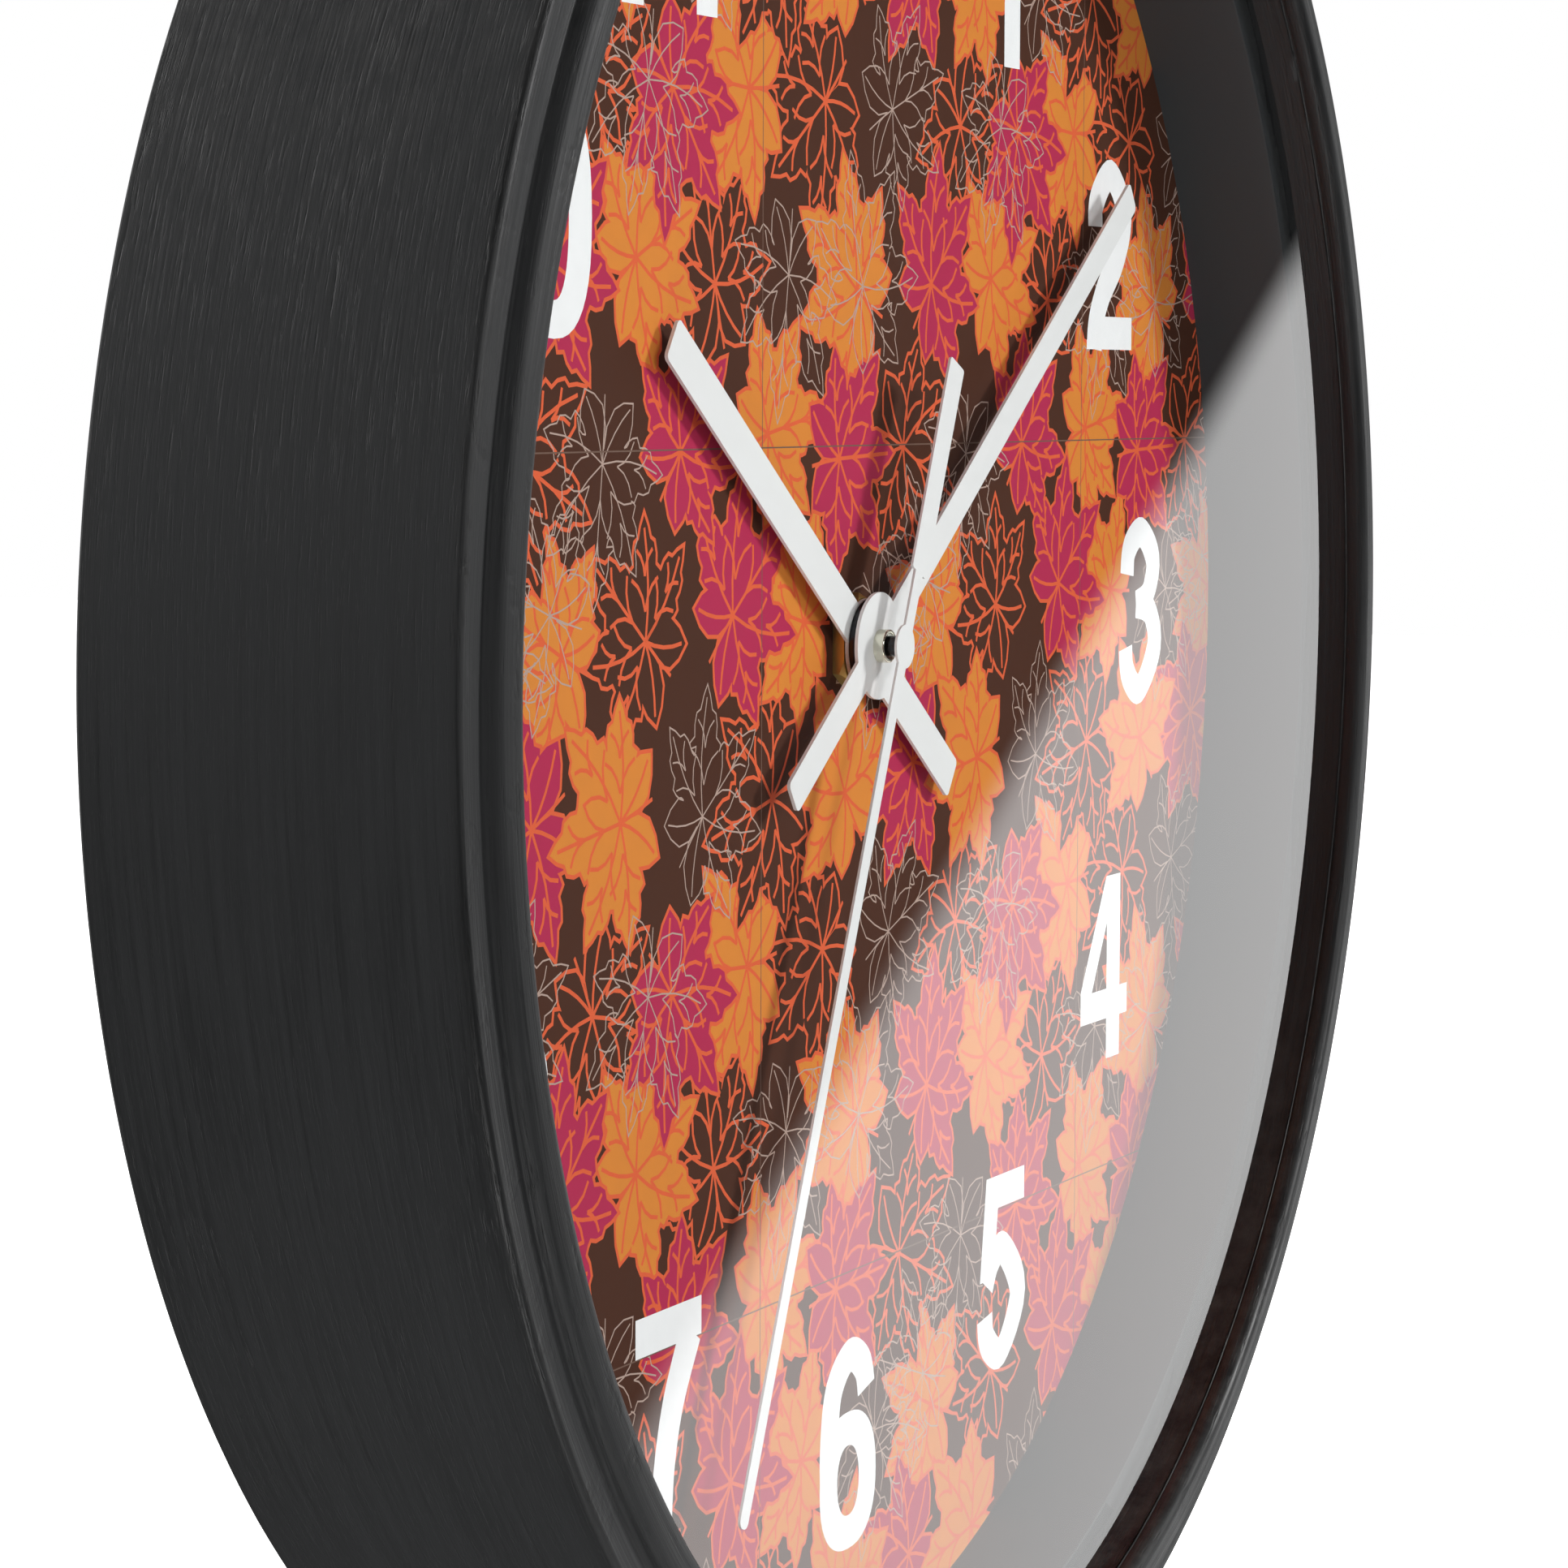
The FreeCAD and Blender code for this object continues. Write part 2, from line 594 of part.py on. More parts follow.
def coil_bobbin():
    low_flange = upright(COIL_FLANGE_RADIUS, COIL_LOW, COIL_LOW + COIL_FLANGE)
    high_flange = upright(COIL_FLANGE_RADIUS, COIL_HIGH - COIL_FLANGE, COIL_HIGH)
    spool = join(upright(COIL_TUBE_RADIUS, COIL_LOW, COIL_HIGH), low_flange, high_flange)
    gap = 0.05
    core_room = block(
        (COIL_X - CORE_HALF - gap, COIL_X + CORE_HALF + gap),
        (COIL_LOW, COIL_HIGH),
        (STATOR_FRONT - gap, CORE_FRONT + gap),
    )
    return spool.cut(core_room)


def coil_winding():
    low = COIL_LOW + COIL_FLANGE
    high = COIL_HIGH - COIL_FLANGE
    return upright(COIL_WINDING_RADIUS, low, high).cut(upright(COIL_TUBE_RADIUS, low, high))


def stator_screw(at):
    head = rod(at, 1.1, CORE_FRONT, CORE_FRONT + 0.7)
    slot = block((at[0] - 1.2, at[0] + 1.2), (at[1] - 0.15, at[1] + 0.15), (CORE_FRONT + 0.4, CORE_FRONT + 0.8))
    return join(head.cut(slot), rod(at, 0.6, PLATE_BACK, CORE_FRONT))


def circuit_board():
    board = block(BOARD_X, BOARD_Z, BOARD_DEPTHS)
    board = round_upright_edges(board, 1.0)
    for at in BOARD_PADS:
        board = board.cut(rod(at, 0.7, *BOARD_DEPTHS))
    return board


def quartz_crystal():
    """Cylindrical crystal can that lies on the circuit board, with its two leads."""
    depth = BOARD_DEPTHS[1] + CRYSTAL_RADIUS + 0.02
    along = Vector(1, 0, 0)
    can = Part.makeCylinder(CRYSTAL_RADIUS, 6.0, Vector(-24.4, -depth, 22.4), along)
    leads = [Part.makeCylinder(0.15, 1.6, Vector(-18.4, -depth, z), along) for z in (22.0, 22.8)]
    return join(can, *leads)


def driver_chip():
    """Epoxy drop over the driver circuit."""
    chip = rod((-12.6, 18.6), CHIP_RADIUS, BOARD_DEPTHS[1], BOARD_DEPTHS[1] + CHIP_HEIGHT)
    rim = [edge for edge in chip.Edges if abs(edge.CenterOfMass.y + BOARD_DEPTHS[1] + CHIP_HEIGHT) < 0.01]
    return chip.makeFillet(CHIP_HEIGHT * 0.8, rim)


# Phases, worked out from the seconds wheel so that every pair is in mesh at rest
SECONDS_PHASE = 0.0
CENTRE_PHASE = 0.0
CANNON_PHASE = 0.0
FIFTH_PINION_PHASE = meshed_phase(CENTRE, SECONDS_WHEEL_TEETH, SECONDS_PHASE, FIFTH, FIFTH_PINION_TEETH)
FIFTH_WHEEL_PHASE = 0.0
ROTOR_PHASE = meshed_phase(FIFTH, FIFTH_WHEEL_TEETH, FIFTH_WHEEL_PHASE, ROTOR, ROTOR_PINION_TEETH)
THIRD_WHEEL_PHASE = meshed_phase(CENTRE, SECONDS_PINION_TEETH, SECONDS_PHASE, THIRD, THIRD_WHEEL_TEETH)
THIRD_PINION_PHASE = meshed_phase(CENTRE, CENTRE_WHEEL_TEETH, CENTRE_PHASE, THIRD, THIRD_PINION_TEETH)
MOTION_WHEEL_PHASE = meshed_phase(CENTRE, CANNON_PINION_TEETH, CANNON_PHASE, MOTION, MOTION_WHEEL_TEETH)
MOTION_PINION_PHASE = 0.0
HOUR_WHEEL_PHASE = meshed_phase(MOTION, MOTION_PINION_TEETH, MOTION_PINION_PHASE, CENTRE, HOUR_WHEEL_TEETH)


def rotor_magnet():
    return tube(ROTOR, MAGNET_RADIUS, PIVOT_RADIUS, STATOR_BACK - 0.15, STATOR_FRONT + 0.25)


def rotor_pinion():
    arbor = rod(ROTOR, PIVOT_RADIUS, TRAIN_BACK - PIVOT_REACH, TRAIN_FRONT + PIVOT_REACH)
    teeth = gear(
        ROTOR, ROTOR_PINION_TEETH, ROTOR_MODULE, PINION_FORM, ROTOR_PHASE, widened(LEVEL_ROTOR)
    )
    return join(teeth, arbor)


def fifth_wheel():
    pinion_depths = (LEVEL_ROTOR[1], LEVEL_SECONDS[1] + PINION_MARGIN)
    return join(
        gear(FIFTH, FIFTH_WHEEL_TEETH, ROTOR_MODULE, WHEEL_FORM, FIFTH_WHEEL_PHASE, LEVEL_ROTOR),
        gear(FIFTH, FIFTH_PINION_TEETH, FIFTH_MODULE, PINION_FORM, FIFTH_PINION_PHASE, pinion_depths),
        rod(FIFTH, PIVOT_RADIUS, TRAIN_BACK - PIVOT_REACH, PLATE_FRONT - 0.2),
    )


def seconds_wheel():
    pinion_depths = (LEVEL_SECONDS[1], LEVEL_THIRD[1] + PINION_MARGIN)
    wheel = join(
        gear(CENTRE, SECONDS_WHEEL_TEETH, FIFTH_MODULE, WHEEL_FORM, SECONDS_PHASE, LEVEL_SECONDS),
        gear(CENTRE, SECONDS_PINION_TEETH, SECONDS_MODULE, PINION_FORM, SECONDS_PHASE, pinion_depths),
    )
    return wheel.cut(rod(CENTRE, SECONDS_SHAFT_RADIUS, LEVEL_SECONDS[0], pinion_depths[1]))


def seconds_shaft():
    return rod(CENTRE, SECONDS_SHAFT_RADIUS, TRAIN_BACK - PIVOT_REACH, SECOND_DEPTHS[0])


def third_wheel():
    pinion_depths = (LEVEL_THIRD[1], LEVEL_CENTRE[1] + PINION_MARGIN)
    return join(
        gear(THIRD, THIRD_WHEEL_TEETH, SECONDS_MODULE, WHEEL_FORM, THIRD_WHEEL_PHASE, LEVEL_THIRD),
        gear(THIRD, THIRD_PINION_TEETH, THIRD_MODULE, PINION_FORM, THIRD_PINION_PHASE, pinion_depths),
        rod(THIRD, PIVOT_RADIUS, TRAIN_BACK - PIVOT_REACH, PLATE_FRONT - 0.2),
    )


def centre_wheel():
    wheel = gear(CENTRE, CENTRE_WHEEL_TEETH, THIRD_MODULE, WHEEL_FORM, CENTRE_PHASE, LEVEL_CENTRE)
    return wheel.cut(rod(CENTRE, MINUTE_TUBE_RADIUS, *LEVEL_CENTRE))


def minute_tube():
    """Tube with the cannon pinion; the centre wheel grips it with a slipping fit for setting."""
    teeth_depths = (LEVEL_CANNON[0] - 0.1, LEVEL_CANNON[1] + PINION_MARGIN)
    teeth = gear(CENTRE, CANNON_PINION_TEETH, CANNON_MODULE, PINION_FORM, CANNON_PHASE, teeth_depths)
    barrel = rod(CENTRE, MINUTE_TUBE_RADIUS, MINUTE_TUBE_BACK, MINUTE_TUBE_FRONT)
    return join(barrel, teeth).cut(rod(CENTRE, MINUTE_TUBE_BORE, MINUTE_TUBE_BACK, MINUTE_TUBE_FRONT))


def hour_wheel():
    teeth = gear(CENTRE, HOUR_WHEEL_TEETH, HOUR_MODULE, WHEEL_FORM, HOUR_WHEEL_PHASE, LEVEL_HOUR)
    front = HOUR_HAND["depths"][1]
    barrel = rod(CENTRE, HOUR_TUBE_RADIUS, LEVEL_HOUR[0], front)
    return join(teeth, barrel).cut(rod(CENTRE, HOUR_TUBE_BORE, LEVEL_HOUR[0], front))


def motion_wheel():
    """Setting wheel and its pinion on the stem of the setting knob."""
    pinion_depths = (LEVEL_CANNON[1], LEVEL_HOUR[1] + PINION_MARGIN)
    return join(
        gear(MOTION, MOTION_WHEEL_TEETH, CANNON_MODULE, WHEEL_FORM, MOTION_WHEEL_PHASE, LEVEL_CANNON),
        gear(MOTION, MOTION_PINION_TEETH, HOUR_MODULE, PINION_FORM, MOTION_PINION_PHASE, pinion_depths),
        rod(MOTION, STEM_RADIUS, KNOB_FRONT, LEVEL_CANNON[0]),
        rod(MOTION, PIVOT_RADIUS, pinion_depths[1], TRAIN_FRONT + PIVOT_REACH),
    )


def setting_knob():
    """Fluted thumb knob that lies in the well at the back of the case."""
    knob = rod(MOTION, KNOB_RADIUS, KNOB_BACK, KNOB_FRONT)
    flutes = []
    for number in range(KNOB_FLUTES):
        at = place(MOTION, number * 360.0 / KNOB_FLUTES, KNOB_RADIUS + 0.15)
        flutes.append(rod(at, 0.35, KNOB_BACK, KNOB_FRONT))
    return knob.cut(Part.makeCompound(flutes))


def bar(width, low, high, depths, corner):
    """Straight blade along Z with rounded corners."""
    return round_upright_edges(block((-width / 2, width / 2), (low, high), depths), corner)


def plain_hand(hand, bore, angle):
    """Straight hand with a round eye and a tail."""
    blade = bar(hand["width"], -hand["tail"], hand["reach"], hand["depths"], HAND_CORNER)
    shape = join(blade, rod(CENTRE, hand["eye"], *hand["depths"]))
    return turned(shape.cut(rod(CENTRE, bore, *hand["depths"])), angle)


def hour_hand():
    return plain_hand(HOUR_HAND, HOUR_TUBE_RADIUS, HOUR_ANGLE)


def minute_hand():
    return plain_hand(MINUTE_HAND, MINUTE_TUBE_RADIUS, MINUTE_ANGLE)


def minute_nut():
    """Bright open nut that holds the minute hand on its tube."""
    nut = tube(CENTRE, MINUTE_NUT_RADIUS, MINUTE_TUBE_RADIUS, MINUTE_HAND["depths"][1], MINUTE_NUT_FRONT)
    rim = [edge for edge in nut.Edges if abs(edge.CenterOfMass.y + MINUTE_NUT_FRONT) < 0.01]
    return nut.makeFillet(0.15, rim)


def second_hand():
    """Thin hand with a rounded tip and a broad counterweight tail."""
    needle = bar(SECOND_WIDTH, -SECOND_TAIL_START - 1, SECOND_REACH, SECOND_DEPTHS, 0.45 * SECOND_WIDTH)
    tail = bar(SECOND_TAIL_WIDTH, -SECOND_TAIL, -SECOND_TAIL_START, SECOND_DEPTHS, 0.4)
    return turned(join(needle, tail, rod(CENTRE, SECOND_EYE, *SECOND_DEPTHS)), SECOND_ANGLE)


def second_collet():
    return tube(CENTRE, COLLET_RADIUS, SECONDS_SHAFT_RADIUS, COLLET_BACK, SECOND_DEPTHS[0])


def main():
    nodes = {
        "wood_frame": wood_frame(),
        "glass": glass(),
        "inner_wall": inner_wall(),
        "dial_sheet": dial_sheet(),
        "dial_board": dial_board(),
        "board_clips": Part.makeCompound([board_clip(n) for n in range(CLIP_COUNT)]),
        "clip_screws": Part.makeCompound([clip_screw(n) for n in range(CLIP_COUNT)]),
        "hanger_plate": hanger_plate(),
        "movement_gasket": movement_gasket(),
        "threaded_bush": threaded_bush(),
        "hex_nut": hex_nut(),
        "front_case": front_case(),
        "rear_case": rear_case(),
        "battery": battery(),
        "contact_positive": contact_positive(),
        "contact_negative": contact_negative(),
        "train_plate": train_plate(),
        "circuit_board": circuit_board(),
        "quartz_crystal": quartz_crystal(),
        "driver_chip": driver_chip(),
        "stator": stator(),
        "coil_core": coil_core(),
        "coil_bobbin": coil_bobbin(),
        "coil_winding": coil_winding(),
        "stator_screws": Part.makeCompound([stator_screw(at) for at in stator_screw_places()]),
        "rotor_magnet": rotor_magnet(),
        "rotor_pinion": rotor_pinion(),
        "fifth_wheel": fifth_wheel(),
        "seconds_wheel": seconds_wheel(),
        "seconds_shaft": seconds_shaft(),
        "third_wheel": third_wheel(),
        "centre_wheel": centre_wheel(),
        "minute_tube": minute_tube(),
        "hour_wheel": hour_wheel(),
        "motion_wheel": motion_wheel(),
        "setting_knob": setting_knob(),
        "hour_hand": hour_hand(),
        "minute_hand": minute_hand(),
        "minute_nut": minute_nut(),
        "second_hand": second_hand(),
        "second_collet": second_collet(),
    }
    os.makedirs("parts", exist_ok=True)
    for name, shape in nodes.items():
        shape.exportStep(os.path.join("parts", name + ".step"))
        print(name, len(shape.Solids), "solids", round(shape.Volume, 2), "mm3", shape.isValid())


main()
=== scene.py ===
import json
import math
import random

import bmesh
import bpy
from mathutils import Matrix, Vector
from mathutils.geometry import delaunay_2d_cdt

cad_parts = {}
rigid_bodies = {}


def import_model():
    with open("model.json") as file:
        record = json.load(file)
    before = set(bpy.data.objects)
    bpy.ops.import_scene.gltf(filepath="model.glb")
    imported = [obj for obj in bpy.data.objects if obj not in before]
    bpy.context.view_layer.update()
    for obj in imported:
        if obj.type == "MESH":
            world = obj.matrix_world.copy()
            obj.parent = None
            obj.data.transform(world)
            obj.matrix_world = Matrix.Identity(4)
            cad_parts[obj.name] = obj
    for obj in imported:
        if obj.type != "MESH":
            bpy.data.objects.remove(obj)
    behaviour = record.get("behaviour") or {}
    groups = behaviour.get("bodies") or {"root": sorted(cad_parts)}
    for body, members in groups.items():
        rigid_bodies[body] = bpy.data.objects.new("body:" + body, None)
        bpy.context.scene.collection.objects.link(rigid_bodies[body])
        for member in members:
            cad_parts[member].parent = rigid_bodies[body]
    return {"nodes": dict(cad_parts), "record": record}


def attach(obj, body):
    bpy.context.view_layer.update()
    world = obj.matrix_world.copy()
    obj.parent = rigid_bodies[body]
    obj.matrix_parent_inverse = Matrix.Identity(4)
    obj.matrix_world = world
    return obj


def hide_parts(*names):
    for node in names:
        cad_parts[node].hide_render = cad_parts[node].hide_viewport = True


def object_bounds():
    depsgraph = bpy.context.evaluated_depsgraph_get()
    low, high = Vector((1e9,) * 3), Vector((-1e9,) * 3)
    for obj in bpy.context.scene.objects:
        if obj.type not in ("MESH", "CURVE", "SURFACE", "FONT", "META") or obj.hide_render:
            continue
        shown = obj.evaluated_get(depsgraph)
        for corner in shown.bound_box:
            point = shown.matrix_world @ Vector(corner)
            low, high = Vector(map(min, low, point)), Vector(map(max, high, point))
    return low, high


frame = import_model()
cadLow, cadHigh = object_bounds()
mm = 0.001
scene = bpy.context.scene
nodes = frame["nodes"]
print("frame loaded:", len(nodes), "nodes")


def linear(red, green, blue):  # one colour of the sRGB scale of 255 as a shader's colour
    parts = []
    for part in (red, green, blue):
        part /= 255
        parts.append(part / 12.92 if part <= 0.04045 else ((part + 0.055) / 1.055) ** 2.4)
    return (*parts, 1.0)


# camera, floor and light

view = {
    "place": (-0.4693, -0.2328, 0.0290), "turn": -64.716, "height": 4.977, "roll": 0.178,
    "lens": 104.2, "sensor": 36.0,
}
studio = {
    "floorDrop": 0.010, "floorSize": 5.0, "floorGlow": 0.85,
    "ambient": 0.45, "glossFront": 0.012, "glossBack": 0.26,
    "keys": (((1.05, -1.75, 0.75), 0.38, 33.0), ((-0.85, -1.85, 0.65), 0.50, 12.5)),
    "fills": (((-1.9, 0.35, 0.35), 0.9, 6.0), ((-0.65, -0.25, -0.85), 0.4, 5.0),
              ((-0.3, 1.9, 0.9), 1.2, 26.0)),
    "panelDepth": -0.70, "panelEdge": ((1.273, -0.354), (2.039, 0.120)), "panelSoft": 0.045,
    "panelReach": 3.0, "panelGlow": 2.15,
}


def makeCamera(plan):
    around, up = math.radians(plan["turn"]), math.radians(plan["height"])
    toClock = -Vector((math.sin(around) * math.cos(up), -math.cos(around) * math.cos(up), math.sin(up)))
    right = toClock.cross(Vector((0, 0, 1))).normalized()
    above = right.cross(toClock).normalized()
    roll = math.radians(plan["roll"])
    right, above = (
        right * math.cos(roll) + above * math.sin(roll),
        above * math.cos(roll) - right * math.sin(roll),
    )
    camera = bpy.data.objects.new("camera", bpy.data.cameras.new("camera"))
    camera.data.lens, camera.data.sensor_width = plan["lens"], plan["sensor"]
    camera.data.clip_start, camera.data.clip_end = 0.01, 50
    pose = Matrix((right, above, -toClock)).transposed().to_4x4()
    pose.translation = Vector(plan["place"])
    camera.matrix_world = pose
    scene.collection.objects.link(camera)
    scene.camera = camera


def areaLight(name, place, size, power, target=(0, 0, 0), colour=(1, 1, 1)):
    lamp = bpy.data.lights.new(name, "AREA")
    lamp.shape, lamp.size, lamp.energy, lamp.color = "SQUARE", size, power, colour
    holder = bpy.data.objects.new(name, lamp)
    holder.location = place
    holder.rotation_euler = (Vector(target) - Vector(place)).to_track_quat("-Z", "Y").to_euler()
    scene.collection.objects.link(holder)
    return holder


def link(tree, start, end):
    tree.links.new(start, end)


def wire(start, output, end, entry):  # joins two nodes of one tree by the names or numbers of their sockets
    start.id_data.links.new(start.outputs[output], end.inputs[entry])


def addNode(tree, kind, settings=None, **values):
    node = tree.nodes.new(kind)
    for key, value in (settings or {}).items():
        setattr(node, key, value)
    for key, value in values.items():
        node.inputs[key.replace("_", " ")].default_value = value
    return node


def mathNode(tree, operation):
    return addNode(tree, "ShaderNodeMath", {"operation": operation})


def vectorNode(tree, operation):
    return addNode(tree, "ShaderNodeVectorMath", {"operation": operation})


def makeStudio(plan):
    scene.view_settings.view_transform = "Standard"
    world = bpy.data.worlds.new("studioAir")
    scene.world = world
    world.use_nodes = True
    tree = world.node_tree
    tree.nodes.clear()
    path = addNode(tree, "ShaderNodeLightPath")
    seen, diffuse, glossy = (addNode(tree, "ShaderNodeBackground", Color=(1, 1, 1, 1)) for _ in range(3))
    diffuse.inputs["Strength"].default_value = plan["ambient"]
    heading = addNode(tree, "ShaderNodeTexCoord")
    turned = addNode(tree, "ShaderNodeSeparateXYZ")
    wall = addNode(tree, "ShaderNodeMapRange", From_Min=-0.15, From_Max=0.5, To_Min=plan["glossFront"],
                   To_Max=plan["glossBack"])
    wire(heading, "Generated", turned, 0)
    wire(turned, "Y", wall, "Value")
    wire(wall, "Result", glossy, "Strength")
    first, second = (addNode(tree, "ShaderNodeMixShader") for _ in range(2))
    out = addNode(tree, "ShaderNodeOutputWorld")
    mirrored = mathNode(tree, "MAXIMUM")
    wire(path, "Is Glossy Ray", mirrored, 0)
    wire(path, "Is Transmission Ray", mirrored, 1)
    wire(mirrored, 0, first, 0)
    wire(diffuse, 0, first, 1)
    wire(glossy, 0, first, 2)
    wire(path, "Is Camera Ray", second, 0)
    wire(first, 0, second, 1)
    wire(seen, 0, second, 2)
    wire(second, 0, out, 0)

    floorHeight = cadLow.z - plan["floorDrop"]
    half = plan["floorSize"] / 2
    floorMesh = bpy.data.meshes.new("floor")
    corners = [(-half, -half), (half, -half), (half, half), (-half, half)]
    floorMesh.from_pydata([(x, y, floorHeight) for x, y in corners], [], [(0, 1, 2, 3)])
    floor = bpy.data.objects.new("floor", floorMesh)
    scene.collection.objects.link(floor)
    paper = bpy.data.materials.new("paleFloor")
    paper.use_nodes = True
    shader = paper.node_tree.nodes["Principled BSDF"]
    shader.inputs["Base Color"].default_value = (0.92, 0.92, 0.92, 1)
    shader.inputs["Roughness"].default_value = 0.9
    shader.inputs["Specular IOR Level"].default_value = 0.1
    shader.inputs["Emission Color"].default_value = (1, 1, 1, 1)
    shader.inputs["Emission Strength"].default_value = plan["floorGlow"]
    floorMesh.materials.append(paper)
    floor.visible_glossy = floor.visible_transmission = floor.visible_shadow = floor.visible_diffuse = False

    for number, lamp in enumerate(plan["keys"]):
        areaLight("keyLight" + str(number), *lamp)
    for number, lamp in enumerate(plan["fills"]):
        areaLight("fillLight" + str(number), *lamp)

    # the soft-edged white card that the cover mirrors
    (x0, z0), (x1, z1) = plan["panelEdge"]
    along = Vector((x1 - x0, 0, z1 - z0)).normalized()
    across = Vector((-along.z, 0, along.x)) * -1
    middle = Vector(((x0 + x1) / 2, plan["panelDepth"], (z0 + z1) / 2))
    reach = plan["panelReach"]
    card = bpy.data.meshes.new("whiteCard")
    corners = [middle - along * reach, middle + along * reach]
    corners += [corners[1] + across * reach, corners[0] + across * reach]
    card.from_pydata([tuple(c) for c in corners], [], [(0, 1, 2, 3)])
    panel = bpy.data.objects.new("whiteCard", card)
    scene.collection.objects.link(panel)
    glow = bpy.data.materials.new("whiteCardGlow")
    glow.use_nodes = True
    tree = glow.node_tree
    tree.nodes.clear()
    where = addNode(tree, "ShaderNodeTexCoord")
    side = vectorNode(tree, "DOT_PRODUCT")
    side.inputs[1].default_value = across
    edge = middle.dot(across)
    ramp = addNode(tree, "ShaderNodeMapRange", {"interpolation_type": "SMOOTHSTEP"}, From_Min=edge,
                   From_Max=edge + plan["panelSoft"], To_Max=plan["panelGlow"])
    shine = addNode(tree, "ShaderNodeEmission")
    out = addNode(tree, "ShaderNodeOutputMaterial")
    wire(where, "Object", side, 0)
    wire(side, "Value", ramp, "Value")
    wire(ramp, "Result", shine, "Strength")
    wire(shine, 0, out, 0)
    card.materials.append(glow)
    panel.visible_camera = panel.visible_diffuse = panel.visible_shadow = False
    panel.visible_volume_scatter = False


makeCamera(view)
makeStudio(studio)
print("camera and studio made")


# shader groups that several finishes share

def newGroup(name, inputs, outputs):
    tree = bpy.data.node_groups.new(name, "ShaderNodeTree")
    for label, kind, value in inputs:
        socket = tree.interface.new_socket(label, in_out="INPUT", socket_type="NodeSocket" + kind)
        if value is not None:
            socket.default_value = value
    for label, kind in outputs:
        tree.interface.new_socket(label, in_out="OUTPUT", socket_type="NodeSocket" + kind)
    return tree, tree.nodes.new("NodeGroupInput"), tree.nodes.new("NodeGroupOutput")


def fineGrainGroup():  # noise on the piece's own coordinates, stretched by a vector
    tree, given, made = newGroup(
        "fineGrain",
        [("Stretch", "Vector", (400, 400, 400)), ("Detail", "Float", 5.0), ("Low", "Float", 0.3),
         ("High", "Float", 0.7), ("Warp", "Float", 0.0)],
        [("Mask", "Float")],
    )
    where = addNode(tree, "ShaderNodeTexCoord")
    wide = vectorNode(tree, "MULTIPLY")
    bend = addNode(tree, "ShaderNodeTexNoise", Scale=60.0, Detail=1.0)
    shift = vectorNode(tree, "MULTIPLY_ADD")
    noise = addNode(tree, "ShaderNodeTexNoise", Scale=1.0, Roughness=0.6)
    fit = addNode(tree, "ShaderNodeMapRange")
    wire(where, "Object", wide, 0)
    wire(given, "Stretch", wide, 1)
    wire(where, "Object", bend, "Vector")
    wire(bend, "Color", shift, 0)
    wire(given, "Warp", shift, 1)
    wire(wide, 0, shift, 2)
    wire(shift, 0, noise, "Vector")
    wire(given, "Detail", noise, "Detail")
    wire(noise, "Fac", fit, "Value")
    wire(given, "Low", fit, "From Min")
    wire(given, "High", fit, "From Max")
    wire(fit, "Result", made, "Mask")
    return tree


def toneGroup():  # a colour made darker and lighter by a mask
    tree, given, made = newGroup(
        "toneShift",
        [("Colour", "Color", (0.5, 0.5, 0.5, 1)), ("Mask", "Float", 0.5), ("Darkest", "Float", 0.85),
         ("Lightest", "Float", 1.1)],
        [("Colour", "Color")],
    )
    fit = addNode(tree, "ShaderNodeMapRange")
    times = vectorNode(tree, "SCALE")
    wire(given, "Mask", fit, "Value")
    wire(given, "Darkest", fit, "To Min")
    wire(given, "Lightest", fit, "To Max")
    wire(given, "Colour", times, 0)
    wire(fit, "Result", times, "Scale")
    wire(times, 0, made, "Colour")
    return tree


def dustGroup():  # pale dust that settles on faces that look up
    tree, given, made = newGroup(
        "restingDust",
        [("Colour", "Color", (0.5, 0.5, 0.5, 1)), ("Dust", "Color", (0.45, 0.43, 0.40, 1)),
         ("Amount", "Float", 0.1)],
        [("Colour", "Color"), ("Mask", "Float")],
    )
    facing = addNode(tree, "ShaderNodeNewGeometry")
    split = addNode(tree, "ShaderNodeSeparateXYZ")
    up = addNode(tree, "ShaderNodeMapRange", From_Min=0.35, From_Max=1.0)
    where = addNode(tree, "ShaderNodeTexCoord")
    noise = addNode(tree, "ShaderNodeTexNoise", Scale=220.0, Detail=8.0, Roughness=0.7)
    patch = addNode(tree, "ShaderNodeMapRange", From_Min=0.38, From_Max=0.66)
    both = mathNode(tree, "MULTIPLY")
    amount = mathNode(tree, "MULTIPLY")
    mix = addNode(tree, "ShaderNodeMix", {"data_type": "RGBA"})
    wire(facing, "Normal", split, 0)
    wire(split, "Z", up, "Value")
    wire(where, "Object", noise, "Vector")
    wire(noise, "Fac", patch, "Value")
    wire(up, "Result", both, 0)
    wire(patch, "Result", both, 1)
    wire(both, 0, amount, 0)
    wire(given, "Amount", amount, 1)
    wire(amount, 0, mix, "Factor")
    wire(given, "Colour", mix, 6)
    wire(given, "Dust", mix, 7)
    wire(mix, 2, made, "Colour")
    wire(amount, 0, made, "Mask")
    return tree


